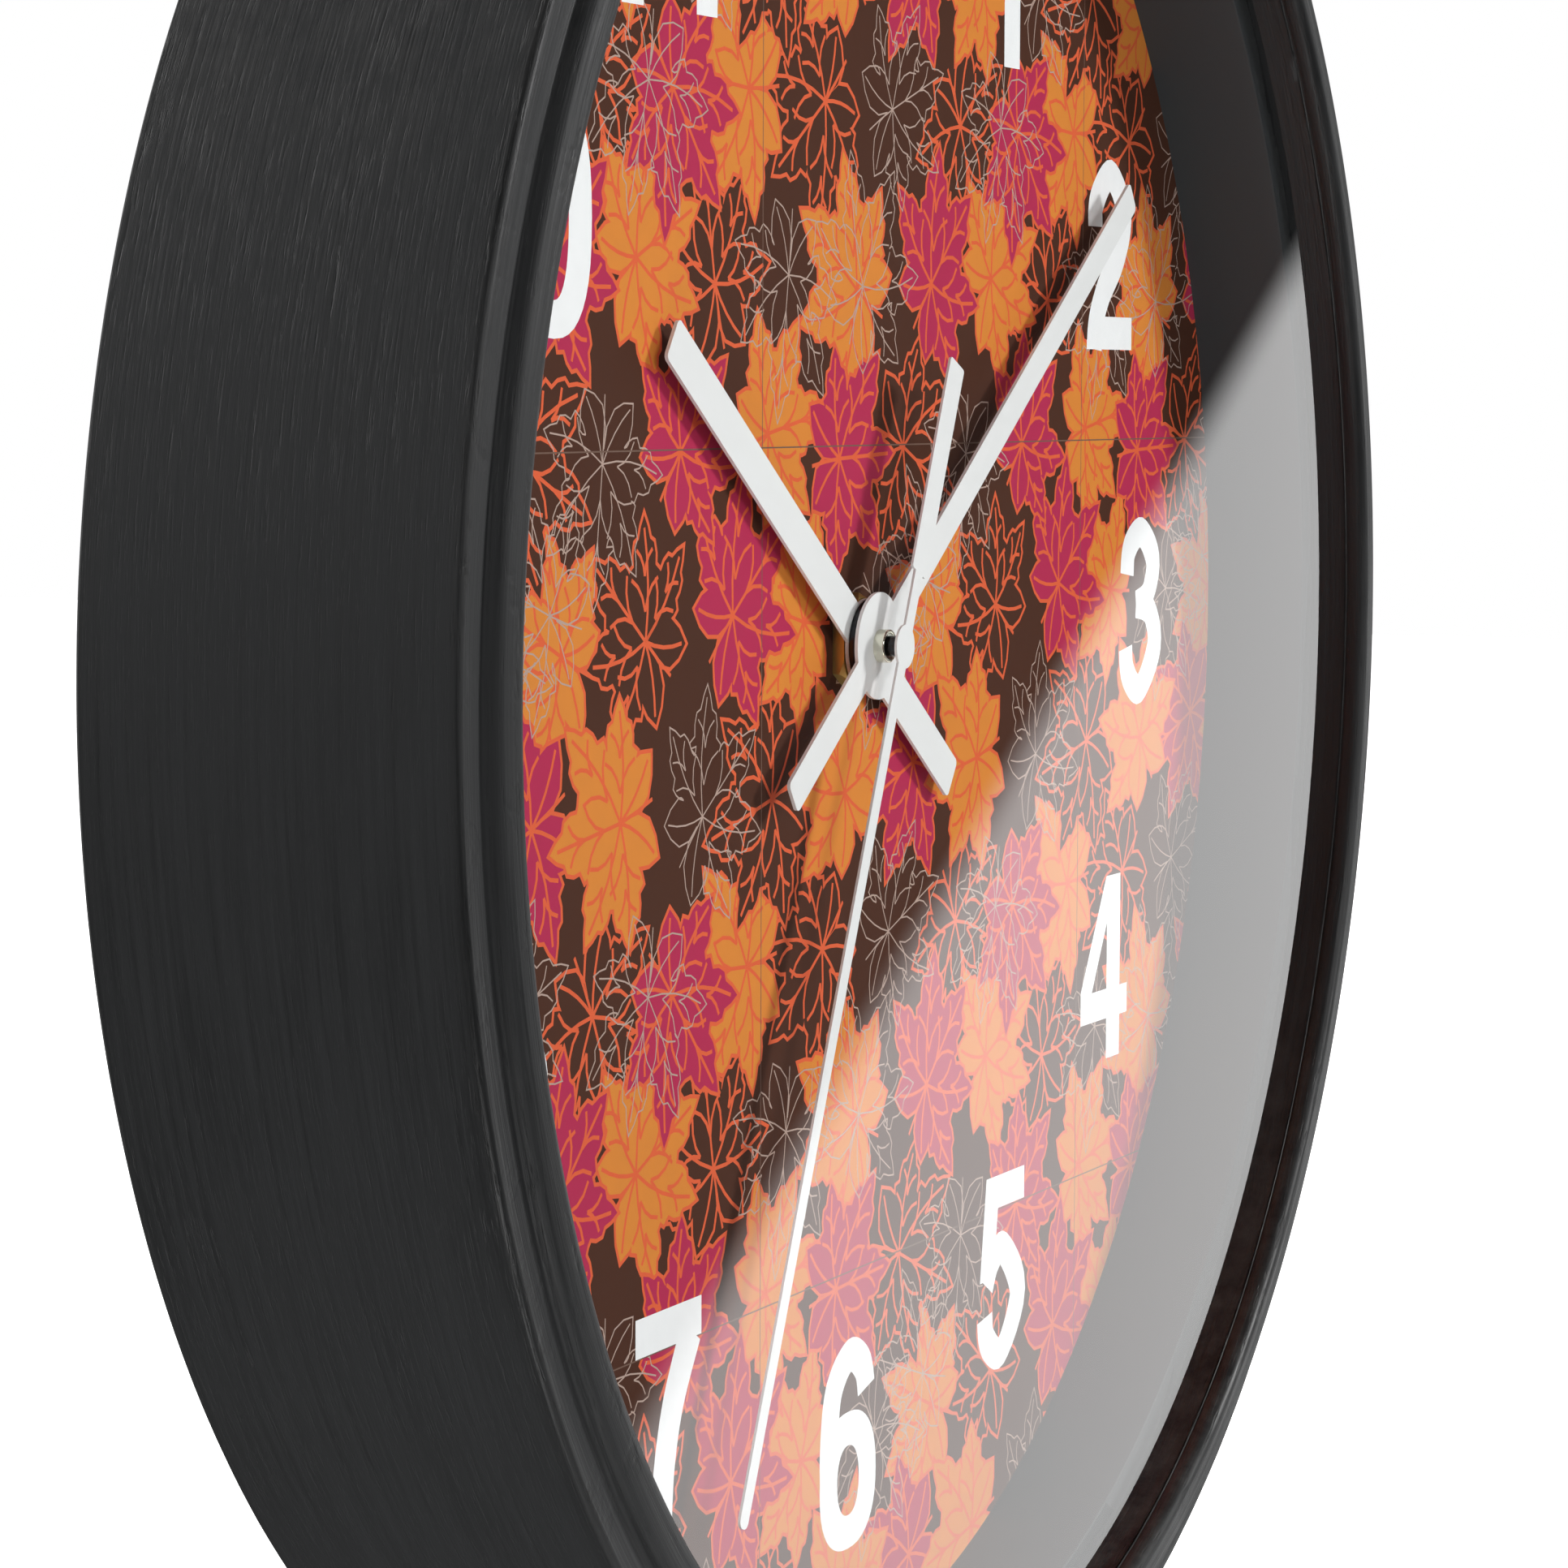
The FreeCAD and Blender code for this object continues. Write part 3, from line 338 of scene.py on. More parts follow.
def turnedGroup():  # fine rings about an axis that runs front to back, as a lathe or a brush leaves them
    tree, given, made = newGroup(
        "turnedRings",
        [("Centre", "Vector", (0, 0, 0)), ("Rings", "Float", 4000.0), ("Along", "Float", 0.0),
         ("Wander", "Float", 30.0)],
        [("Mask", "Float")],
    )
    where = addNode(tree, "ShaderNodeTexCoord")
    shift = vectorNode(tree, "SUBTRACT")
    flat = vectorNode(tree, "MULTIPLY")
    flat.inputs[1].default_value = (1, 0, 1)
    reach = vectorNode(tree, "LENGTH")
    split = addNode(tree, "ShaderNodeSeparateXYZ")
    radial = mathNode(tree, "MULTIPLY")
    depth = mathNode(tree, "MULTIPLY_ADD")
    slow = vectorNode(tree, "SCALE")
    flatten = addNode(tree, "ShaderNodeSeparateXYZ")
    join = addNode(tree, "ShaderNodeCombineXYZ")
    noise = addNode(tree, "ShaderNodeTexNoise", Scale=1.0, Detail=4.0, Roughness=0.65)
    wire(where, "Object", shift, 0)
    wire(given, "Centre", shift, 1)
    wire(shift, 0, flat, 0)
    wire(flat, 0, reach, 0)
    wire(shift, 0, split, 0)
    wire(reach, "Value", radial, 0)
    wire(given, "Rings", radial, 1)
    wire(split, "Y", depth, 0)
    wire(given, "Along", depth, 1)
    wire(radial, 0, depth, 2)
    wire(flat, 0, slow, 0)
    wire(given, "Wander", slow, "Scale")
    wire(slow, 0, flatten, 0)
    wire(flatten, "X", join, "X")
    wire(depth, 0, join, "Y")
    wire(flatten, "Z", join, "Z")
    fit = addNode(tree, "ShaderNodeMapRange", From_Min=0.32, From_Max=0.68)
    wire(join, 0, noise, "Vector")
    wire(noise, "Fac", fit, "Value")
    wire(fit, "Result", made, "Mask")
    return tree


groups = {
    "grain": fineGrainGroup(),
    "tone": toneGroup(),
    "dust": dustGroup(),
    "rings": turnedGroup(),
}


def useGroup(tree, name, **values):
    node = tree.nodes.new("ShaderNodeGroup")
    node.node_tree = groups[name]
    for key, value in values.items():
        node.inputs[key].default_value = value
    return node


def startFinish(name, plain):  # a material whose Principled shader has the values that are the same all over
    material = bpy.data.materials.new(name)
    material.use_nodes = True
    shader = material.node_tree.nodes["Principled BSDF"]
    for label, value in plain.items():
        shader.inputs[label].default_value = value
    return material, material.node_tree, shader


def roughFrom(tree, shader, mask, low, high):
    fit = addNode(tree, "ShaderNodeMapRange", To_Min=low, To_Max=high)
    link(tree, mask, fit.inputs["Value"])
    wire(fit, "Result", shader, "Roughness")


def bumpFrom(tree, shader, height, distance, strength=1.0):
    bump = addNode(tree, "ShaderNodeBump", Strength=strength, Distance=distance)
    link(tree, height, bump.inputs["Height"])
    wire(bump, "Normal", shader, "Normal")
    return bump


# colour, rough low and high, metal, stretch of the grain, tone low and high, bump in mm, dust, rings a metre
finishes = {
    "black_liner": ((43, 46, 48), 0.62, 0.78, 0.0, (900, 900, 900), 0.88, 1.12, 0.010, 0.02, 0),
    "clip_steel": ((176, 178, 182), 0.24, 0.42, 1.0, (160, 2600, 2600), 0.88, 1.06, 0.004, 0.10, 0),
    "screw_steel": ((190, 186, 172), 0.20, 0.36, 1.0, (900, 900, 900), 0.84, 1.06, 0.004, 0.08, 0),
    "hanger_steel": ((186, 188, 190), 0.26, 0.46, 1.0, (2400, 2400, 120), 0.86, 1.06, 0.005, 0.12, 0),
    "gasket_rubber": ((28, 28, 29), 0.72, 0.86, 0.0, (1400, 1400, 1400), 0.85, 1.18, 0.012, 0.05, 0),
    "brass": ((228, 212, 134), 0.36, 0.52, 0.12, (1200, 1200, 1200), 0.90, 1.05, 0.002, 0.02, 9000),
    "case_plastic": ((38, 38, 40), 0.44, 0.60, 0.0, (2600, 2600, 2600), 0.86, 1.16, 0.010, 0.10, 0),
    "contact_steel": ((206, 204, 196), 0.16, 0.30, 1.0, (3000, 3000, 150), 0.90, 1.05, 0.002, 0.04, 0),
    "plate_plastic": ((214, 212, 202), 0.40, 0.52, 0.0, (1500, 1500, 1500), 0.94, 1.04, 0.006, 0.04, 0),
    "crystal_can": ((196, 198, 202), 0.14, 0.26, 1.0, (200, 3000, 3000), 0.90, 1.05, 0.002, 0.03, 0),
    "epoxy": ((18, 18, 20), 0.16, 0.30, 0.0, (700, 700, 700), 0.80, 1.25, 0.012, 0.05, 0),
    "pole_steel": ((150, 152, 156), 0.28, 0.44, 1.0, (2600, 2600, 160), 0.86, 1.06, 0.003, 0.03, 0),
    "bobbin_plastic": ((196, 72, 48), 0.36, 0.50, 0.0, (1500, 1500, 1500), 0.92, 1.06, 0.005, 0.03, 0),
    "magnet": ((96, 98, 102), 0.30, 0.50, 1.0, (1800, 1800, 1800), 0.80, 1.10, 0.004, 0.02, 6000),
    "pinion_plastic": ((232, 230, 222), 0.34, 0.46, 0.0, (2000, 2000, 2000), 0.94, 1.03, 0.003, 0.02, 0),
    "gear_plastic": ((236, 232, 218), 0.34, 0.48, 0.0, (1800, 1800, 1800), 0.94, 1.03, 0.003, 0.03, 3000),
    "arbor_steel": ((178, 180, 184), 0.16, 0.30, 1.0, (1500, 1500, 1500), 0.90, 1.05, 0.001, 0.02, 9000),
    "white_hand": ((226, 226, 225), 0.46, 0.58, 0.0, (900, 900, 900), 0.975, 1.01, 0.004, 0.02, 0),
    "dark_collet": ((58, 58, 60), 0.20, 0.34, 1.0, (1500, 1500, 1500), 0.86, 1.10, 0.001, 0.01, 9000),
    "bright_nut": ((226, 224, 208), 0.12, 0.24, 0.7, (1500, 1500, 1500), 0.94, 1.03, 0.001, 0.01, 7000),
    "setting_plastic": ((44, 44, 46), 0.40, 0.56, 0.0, (2400, 2400, 2400), 0.86, 1.16, 0.008, 0.08, 2600),
    "hour_gear_plastic": ((224, 226, 224), 0.34, 0.48, 0.0, (1800, 1800, 1800), 0.94, 1.03, 0.003, 0.02,
                          3000),
    "moulded_mark": ((62, 62, 64), 0.40, 0.56, 0.0, (2600, 2600, 2600), 0.88, 1.14, 0.006, 0.10, 0),
}


def makeFinish(name):
    finish = finishes[name]
    colour, roughLow, roughHigh, metal, stretch, dark, light, bumpDepth, dustAmount, ringCount = finish
    material, tree, shader = startFinish(name, {"Metallic": metal})
    grain = useGroup(tree, "grain", Stretch=stretch, Warp=2.0 if max(stretch) != min(stretch) else 0.0)
    blotch = useGroup(tree, "grain", Stretch=(70, 70, 70), Detail=3.0, Low=0.3, High=0.7)
    mask = addNode(tree, "ShaderNodeMix", Factor=0.35)
    wire(grain, 0, mask, 2)
    wire(blotch, 0, mask, 3)
    value = mask.outputs[0]
    if ringCount:
        rings = useGroup(tree, "rings", Rings=float(ringCount), Along=float(ringCount))
        more = addNode(tree, "ShaderNodeMix", Factor=0.5)
        link(tree, value, more.inputs[2])
        wire(rings, 0, more, 3)
        value = more.outputs[0]
    tone = useGroup(tree, "tone", Colour=linear(*colour), Darkest=dark, Lightest=light)
    dust = useGroup(tree, "dust", Amount=dustAmount)
    link(tree, value, tone.inputs["Mask"])
    wire(tone, 0, dust, "Colour")
    wire(dust, "Colour", shader, "Base Color")
    if metal:
        clean = mathNode(tree, "SUBTRACT")
        clean.inputs[0].default_value = 1.0
        wire(dust, "Mask", clean, 1)
        wire(clean, 0, shader, "Metallic")
    roughFrom(tree, shader, value, roughLow, roughHigh)
    bumpFrom(tree, shader, value, bumpDepth * mm)
    return material


# finishes with a pattern of their own

blackWood = {
    "colour": (28, 29, 30), "ringBrush": 1300.0, "polish": -0.35, "thinPaint": 0.45, "chip": (14, 14, 14),
    "roughLow": 0.36, "roughHigh": 0.82, "bump": 0.07, "dust": 0.10,
}


def makeBlackWood(plan):  # satin black paint over turned wood, brushed round the rim
    material, tree, shader = startFinish("black_wood", {"Specular IOR Level": 0.27})
    rings = useGroup(tree, "rings", Rings=plan["ringBrush"], Along=plan["ringBrush"], Wander=26.0)
    fine = useGroup(tree, "rings", Rings=5200.0, Along=5200.0, Wander=70.0)
    blotch = useGroup(tree, "grain", Stretch=(26, 60, 26), Detail=4.0, Low=0.32, High=0.68)
    pores = useGroup(tree, "grain", Stretch=(240, 3600, 240), Detail=3.0, Low=0.56, High=0.70, Warp=1.0)
    lines = addNode(tree, "ShaderNodeMix", Factor=0.30)
    wire(rings, 0, lines, 2)
    wire(fine, 0, lines, 3)
    mask = addNode(tree, "ShaderNodeMix", Factor=0.28)
    wire(lines, 0, mask, 2)
    wire(blotch, 0, mask, 3)
    tone = useGroup(tree, "tone", Colour=linear(*plan["colour"]), Darkest=0.52, Lightest=1.45)
    wire(mask, 0, tone, "Mask")
    worn = addNode(tree, "ShaderNodeAttribute", {"attribute_name": "edge"})
    chips = mathNode(tree, "MULTIPLY_ADD")
    chips.inputs[1].default_value, chips.inputs[2].default_value = 1.0 - plan["thinPaint"], plan["thinPaint"]
    wire(pores, 0, chips, 0)
    wear = mathNode(tree, "MULTIPLY")
    wire(worn, "Fac", wear, 0)
    wire(chips, 0, wear, 1)
    scuffed = addNode(tree, "ShaderNodeMix", {"data_type": "RGBA"})
    scuffed.inputs[7].default_value = linear(*plan["chip"])
    wire(wear, 0, scuffed, "Factor")
    wire(tone, 0, scuffed, 6)
    dust = useGroup(tree, "dust", Amount=plan["dust"])
    wire(scuffed, 2, dust, "Colour")
    wire(dust, "Colour", shader, "Base Color")
    rubbed = mathNode(tree, "MULTIPLY_ADD")  # edges are polished by handling
    rubbed.inputs[1].default_value = plan["polish"]
    wire(worn, "Fac", rubbed, 0)
    wire(mask, 0, rubbed, 2)
    roughFrom(tree, shader, rubbed.outputs[0], plan["roughLow"], plan["roughHigh"])
    deep = mathNode(tree, "SUBTRACT")
    wire(lines, 0, deep, 0)
    wire(pores, 0, deep, 1)
    bumpFrom(tree, shader, deep.outputs[0], plan["bump"] * mm, 0.55)
    return material


acrylic = {"rough": 0.0, "ior": 1.491, "gloss": (1.0, 1.0, 1.0, 1), "clear": (0.975, 0.98, 0.98, 1)}


def makeAcrylic(plan):  # thin clear sheet: it mirrors by its angle and lets the rest go straight through
    material, tree, shader = startFinish("clear_acrylic", {
        "Base Color": plan["gloss"], "Roughness": plan["rough"], "Metallic": 1.0,
    })
    scuffs = useGroup(tree, "grain", Stretch=(60, 60, 60), Detail=6.0, Low=0.62, High=0.80)
    bumpFrom(tree, shader, scuffs.outputs[0], 0.0006 * mm, 0.2)
    path = addNode(tree, "ShaderNodeLightPath")
    side = addNode(tree, "ShaderNodeNewGeometry")
    angle = addNode(tree, "ShaderNodeFresnel", IOR=plan["ior"])
    either = mathNode(tree, "MAXIMUM")
    closed = mathNode(tree, "MAXIMUM")
    opened = mathNode(tree, "SUBTRACT")
    opened.inputs[0].default_value = 1.0
    share = mathNode(tree, "MULTIPLY")
    wire(path, "Is Shadow Ray", either, 0)
    wire(path, "Is Diffuse Ray", either, 1)
    wire(either, 0, closed, 0)
    wire(side, "Backfacing", closed, 1)
    wire(closed, 0, opened, 1)
    wire(opened, 0, share, 0)
    wire(angle, 0, share, 1)
    clear = addNode(tree, "ShaderNodeBsdfTransparent")
    clear.inputs["Color"].default_value = plan["clear"]
    mix = addNode(tree, "ShaderNodeMixShader")
    wire(share, 0, mix, 0)
    wire(clear, 0, mix, 1)
    wire(shader, 0, mix, 2)
    link(tree, mix.outputs[0], tree.nodes["Material Output"].inputs["Surface"])
    return material


def makePaper(name, colour):  # printed paper: a faint tooth and a slight unevenness of the ink
    material, tree, shader = startFinish(name, {"Specular IOR Level": 0.05})
    tooth = useGroup(tree, "grain", Stretch=(5200, 5200, 5200), Detail=2.0, Low=0.30, High=0.70)
    fibre = useGroup(tree, "grain", Stretch=(420, 900, 420), Detail=6.0, Low=0.30, High=0.70)
    mask = addNode(tree, "ShaderNodeMix", Factor=0.5)
    wire(tooth, 0, mask, 2)
    wire(fibre, 0, mask, 3)
    tone = useGroup(tree, "tone", Colour=linear(*colour), Darkest=0.955, Lightest=1.045)
    wire(mask, 0, tone, "Mask")
    wire(tone, 0, shader, "Base Color")
    roughFrom(tree, shader, mask.outputs[0], 0.60, 0.74)
    bumpFrom(tree, shader, mask.outputs[0], 0.006 * mm)
    return material


hardboard = {
    "colour": (138, 98, 64), "fibre": (70, 44, 26), "roughLow": 0.70, "roughHigh": 0.88, "bump": 0.06,
}


def makeHardboard(plan):  # pressed brown fibreboard with the print of its screen and stray dark fibres
    material, tree, shader = startFinish("hardboard", {"Specular IOR Level": 0.25})
    fibres = useGroup(tree, "grain", Stretch=(260, 260, 1100), Detail=8.0, Low=0.30, High=0.70, Warp=6.0)
    cross = useGroup(tree, "grain", Stretch=(1100, 260, 260), Detail=8.0, Low=0.34, High=0.70, Warp=6.0)
    flecks = useGroup(tree, "grain", Stretch=(900, 900, 3200), Detail=2.0, Low=0.64, High=0.72, Warp=9.0)
    where = addNode(tree, "ShaderNodeTexCoord")
    screen = addNode(tree, "ShaderNodeTexVoronoi", {"distance": "CHEBYCHEV"}, Scale=620.0, Randomness=0.22)
    wire(where, "Object", screen, "Vector")
    both = addNode(tree, "ShaderNodeMix", Factor=0.5)
    wire(fibres, 0, both, 2)
    wire(cross, 0, both, 3)
    mask = addNode(tree, "ShaderNodeMix", Factor=0.22)
    wire(both, 0, mask, 2)
    wire(screen, "Distance", mask, 3)
    tone = useGroup(tree, "tone", Colour=linear(*plan["colour"]), Darkest=0.62, Lightest=1.28)
    wire(mask, 0, tone, "Mask")
    dark = addNode(tree, "ShaderNodeMix", {"data_type": "RGBA"})
    dark.inputs[7].default_value = linear(*plan["fibre"])
    wire(flecks, 0, dark, "Factor")
    wire(tone, 0, dark, 6)
    wire(dark, 2, shader, "Base Color")
    roughFrom(tree, shader, mask.outputs[0], plan["roughLow"], plan["roughHigh"])
    bumpFrom(tree, shader, mask.outputs[0], plan["bump"] * mm)
    return material


cell = {
    "jacket": (30, 30, 33), "band": (196, 118, 58), "bandFrom": 11.5, "line": (226, 222, 210),
    "steel": (200, 200, 202), "left": -24.3, "right": 23.5,
}


def makeCellJacket(plan):  # shrunk sleeve with a copper band at the positive end, and bare steel at both ends
    material, tree, shader = startFinish("cell_jacket", {"Coat Roughness": 0.12})
    where = addNode(tree, "ShaderNodeTexCoord")
    split = addNode(tree, "ShaderNodeSeparateXYZ")
    wire(where, "Object", split, 0)

    def step(at, width=0.04):
        fit = addNode(tree, "ShaderNodeMapRange", From_Min=(at - width) * mm, From_Max=(at + width) * mm)
        wire(split, "X", fit, "Value")
        return fit.outputs["Result"]

    def blend(factor, below, above):
        mix = addNode(tree, "ShaderNodeMix", {"data_type": "RGBA"})
        link(tree, factor, mix.inputs["Factor"])
        for socket, value in ((6, below), (7, above)):
            if isinstance(value, tuple):
                mix.inputs[socket].default_value = linear(*value)
            else:
                link(tree, value, mix.inputs[socket])
        return mix.outputs[2]

    colour = blend(step(plan["bandFrom"] - 1.0), plan["jacket"], plan["line"])
    colour = blend(step(plan["bandFrom"]), colour, plan["band"])
    colour = blend(step(plan["right"]), colour, plan["steel"])
    colour = blend(step(plan["left"]), plan["steel"], colour)
    grain = useGroup(tree, "grain", Stretch=(300, 2400, 2400), Detail=3.0, Warp=1.0)
    tone = useGroup(tree, "tone", Darkest=0.90, Lightest=1.10)
    link(tree, colour, tone.inputs["Colour"])
    wire(grain, 0, tone, "Mask")
    dust = useGroup(tree, "dust", Amount=0.05)
    wire(tone, 0, dust, "Colour")
    wire(dust, "Colour", shader, "Base Color")
    inside = mathNode(tree, "SUBTRACT")
    link(tree, step(plan["left"]), inside.inputs[0])
    link(tree, step(plan["right"]), inside.inputs[1])
    metal = addNode(tree, "ShaderNodeMapRange", To_Min=1.0, To_Max=0.25)
    wire(inside, 0, metal, "Value")
    wire(metal, "Result", shader, "Metallic")
    wire(inside, 0, shader, "Coat Weight")
    roughFrom(tree, shader, grain.outputs[0], 0.22, 0.34)
    bumpFrom(tree, shader, grain.outputs[0], 0.006 * mm)
    return material


laminate = {
    "mask": (34, 82, 52), "track": (52, 116, 70), "trackScale": 420.0, "bump": 0.03,
}


def makeLaminate(plan):  # green solder mask over copper tracks
    material, tree, shader = startFinish("circuit_laminate", {"Coat Weight": 0.6, "Coat Roughness": 0.2})
    where = addNode(tree, "ShaderNodeTexCoord")
    tracks = addNode(tree, "ShaderNodeTexVoronoi", {"distance": "MANHATTAN", "feature": "DISTANCE_TO_EDGE"},
                     Scale=plan["trackScale"])
    wire(where, "Object", tracks, "Vector")
    cut = addNode(tree, "ShaderNodeMapRange", From_Min=0.10, From_Max=0.14)
    wire(tracks, "Distance", cut, "Value")
    grain = useGroup(tree, "grain", Stretch=(2600, 2600, 2600))
    mix = addNode(tree, "ShaderNodeMix", {"data_type": "RGBA"})
    mix.inputs[6].default_value = linear(*plan["mask"])
    mix.inputs[7].default_value = linear(*plan["track"])
    wire(cut, "Result", mix, "Factor")
    tone = useGroup(tree, "tone", Darkest=0.90, Lightest=1.10)
    wire(mix, 2, tone, "Colour")
    wire(grain, 0, tone, "Mask")
    wire(tone, 0, shader, "Base Color")
    roughFrom(tree, shader, grain.outputs[0], 0.35, 0.5)
    bumpFrom(tree, shader, cut.outputs["Result"], plan["bump"] * mm)
    return material


winding = {"colour": (196, 104, 52), "turns": 9000, "bump": 0.04}


def makeWinding(plan):  # fine enamelled wire, turn beside turn up the coil
    material, tree, shader = startFinish("copper_wire", {"Metallic": 0.9})
    turns = useGroup(tree, "grain", Stretch=(120, 120, plan["turns"]), Detail=2.0, Low=0.25, High=0.75)
    drift = useGroup(tree, "grain", Stretch=(300, 300, 300), Detail=3.0)
    mask = addNode(tree, "ShaderNodeMix", Factor=0.25)
    wire(turns, 0, mask, 2)
    wire(drift, 0, mask, 3)
    tone = useGroup(tree, "tone", Colour=linear(*plan["colour"]), Darkest=0.62, Lightest=1.15)
    wire(mask, 0, tone, "Mask")
    wire(tone, 0, shader, "Base Color")
    roughFrom(tree, shader, mask.outputs[0], 0.24, 0.42)
    bumpFrom(tree, shader, turns.outputs[0], plan["bump"] * mm)
    return material


inks = {
    "ground": (74, 43, 30), "orange": (212, 130, 54), "crimson": (174, 43, 79),
    "outline": (217, 95, 58), "pale": (176, 152, 140), "seam": (112, 88, 76), "white": (238, 238, 238),
}
materials = {name: makeFinish(name) for name in finishes}
materials["black_wood"] = makeBlackWood(blackWood)
materials["clear_acrylic"] = makeAcrylic(acrylic)
materials["hardboard"] = makeHardboard(hardboard)
materials["cell_jacket"] = makeCellJacket(cell)
materials["circuit_laminate"] = makeLaminate(laminate)
materials["copper_wire"] = makeWinding(winding)
inkMaterials = [makePaper("print_" + name, colour) for name, colour in inks.items()]
inkNumber = {name: number for number, name in enumerate(inks)}
materials["printed_paper"] = inkMaterials[0]
print("finishes made:", len(materials) + len(inkMaterials))


def dressNodes():  # gives every carried-over part the finish of its slot
    for part in frame["record"]["subparts"]:
        mesh = nodes[part["node"]].data
        mesh.materials.clear()
        mesh.materials.append(materials[part["material_slot"]])


dressNodes()
print("carried-over parts dressed")


def keepLampsOffCover():  # the cover mirrors the white card and the air, never a lamp
    unlit = bpy.data.collections.new("unlitCover")
    unlit.objects.link(nodes["glass"])
    unlit.collection_objects[0].light_linking.link_state = "EXCLUDE"
    for holder in scene.objects:
        if holder.type == "LIGHT":
            holder.light_linking.receiver_collection = unlit


keepLampsOffCover()


# helpers for pieces

def newObject(name, mesh):
    piece = bpy.data.objects.new(name, mesh)
    scene.collection.objects.link(piece)
    return piece


def geometryTree(name, inputs):  # a geometry tree with named inputs, and its first and last node
    tree = bpy.data.node_groups.new(name, "GeometryNodeTree")
    tree.interface.new_socket("Geometry", in_out="INPUT", socket_type="NodeSocketGeometry")
    for label, kind, value in inputs:
        socket = tree.interface.new_socket(label, in_out="INPUT", socket_type="NodeSocket" + kind)
        socket.default_value = value
    tree.interface.new_socket("Geometry", in_out="OUTPUT", socket_type="NodeSocketGeometry")
    return tree, tree.nodes.new("NodeGroupInput"), tree.nodes.new("NodeGroupOutput")


def grow(name, startMesh, tree, values):  # runs a geometry tree on a mesh and keeps the result as a piece
    starter = newObject(name + "Start", startMesh)
    modifier = starter.modifiers.new("grow", "NODES")
    modifier.node_group = tree
    for item in tree.interface.items_tree:
        if item.item_type == "SOCKET" and item.in_out == "INPUT" and item.name in values:
            modifier[item.identifier] = values[item.name]
    bpy.context.view_layer.update()
    evaluated = starter.evaluated_get(bpy.context.evaluated_depsgraph_get())
    mesh = bpy.data.meshes.new_from_object(evaluated)
    mesh.name = name
    starter.modifiers.remove(modifier)
    bpy.data.objects.remove(starter)
    bpy.data.meshes.remove(startMesh)
    return newObject(name, mesh)


def endTree(tree, geometry, last, material):  # every tree ends by making its copies real, with their finish
    real = tree.nodes.new("GeometryNodeRealizeInstances")
    paint = tree.nodes.new("GeometryNodeSetMaterial")
    paint.inputs["Material"].default_value = material
    link(tree, geometry, real.inputs[0])
    wire(real, 0, paint, 0)
    wire(paint, 0, last, "Geometry")


# points (radius, depth) on an arc of the profile; angles in degrees from outwards to the front
def arc(centre, radius, start, end, steps):
    points = []
    for k in range(steps + 1):
        angle = math.radians(start + (end - start) * k / steps)
        points.append((centre[0] + radius * math.cos(angle), centre[1] + radius * math.sin(angle)))
    return points


def profileMesh(name, points, worn):  # a closed line of (radius, depth) in mm, with the wear of each point
    mesh = bpy.data.meshes.new(name)
    count = len(points)
    mesh.from_pydata([(radius * mm, depth * mm, 0) for radius, depth in points],
                     [(k, (k + 1) % count) for k in range(count)], [])
    attribute = mesh.attributes.new("edge", "FLOAT", "POINT")
    attribute.data.foreach_set("value", worn)
    return mesh


# a profile swept round the clock's axis, with a slight ripple of the hand-turned surface
def sweepTree(name, material):
    tree, first, last = geometryTree(name, [
        ("Segments", "Int", 360), ("Path radius", "Float", 0.1), ("Ripple", "Float", 0.0),
        ("Ripple scale", "Float", 60.0),
    ])
    circle = addNode(tree, "GeometryNodeCurvePrimitiveCircle")
    wire(first, "Segments", circle, "Resolution")
    wire(first, "Path radius", circle, "Radius")
    profile = addNode(tree, "GeometryNodeMeshToCurve")
    wire(first, "Geometry", profile, "Mesh")
    sweep = addNode(tree, "GeometryNodeCurveToMesh")
    wire(circle, "Curve", sweep, "Curve")
    wire(profile, "Curve", sweep, "Profile Curve")
    turn = addNode(tree, "GeometryNodeTransform", Rotation=(math.radians(-90), 0, 0))
    wire(sweep, "Mesh", turn, "Geometry")
    noise = addNode(tree, "ShaderNodeTexNoise", Detail=3.0)
    wire(first, "Ripple scale", noise, "Scale")
    middle = mathNode(tree, "SUBTRACT")
    middle.inputs[1].default_value = 0.5
    wire(noise, "Fac", middle, 0)
    size = mathNode(tree, "MULTIPLY")
    wire(middle, 0, size, 0)
    wire(first, "Ripple", size, 1)
    worn = addNode(tree, "GeometryNodeInputNamedAttribute", {"data_type": "FLOAT"}, Name="edge")
    where = mathNode(tree, "MULTIPLY")
    wire(size, 0, where, 0)
    wire(worn, "Attribute", where, 1)
    normal = addNode(tree, "GeometryNodeInputNormal")
    push = vectorNode(tree, "SCALE")
    wire(normal, 0, push, 0)
    wire(where, 0, push, "Scale")
    move = addNode(tree, "GeometryNodeSetPosition")
    wire(turn, 0, move, "Geometry")
    wire(push, 0, move, "Offset")
    smooth = addNode(tree, "GeometryNodeSetShadeSmooth")
    wire(move, 0, smooth, "Geometry")
    endTree(tree, smooth.outputs[0], last, material)
    return tree


def outwards(piece):  # points every face of a closed mesh outwards
    shape = bmesh.new()
    shape.from_mesh(piece.data)
    bmesh.ops.remove_doubles(shape, verts=shape.verts, dist=1e-7)
    bmesh.ops.recalc_face_normals(shape, faces=shape.faces)
    shape.to_mesh(piece.data)
    shape.free()


def sweepRing(name, points, worn, pathRadius, material, segments, ripple=0.0, rippleScale=60.0, sharp=40):
    mesh = profileMesh(name, [(radius - pathRadius, depth) for radius, depth in points], worn)
    piece = grow(name, mesh, sweepTree(name + "Tree", material), {
        "Segments": segments, "Path radius": pathRadius * mm,
        "Ripple": ripple * mm, "Ripple scale": rippleScale,
    })
    outwards(piece)
    piece.data.set_sharp_from_angle(angle=math.radians(sharp))
    return piece


# wooden frame

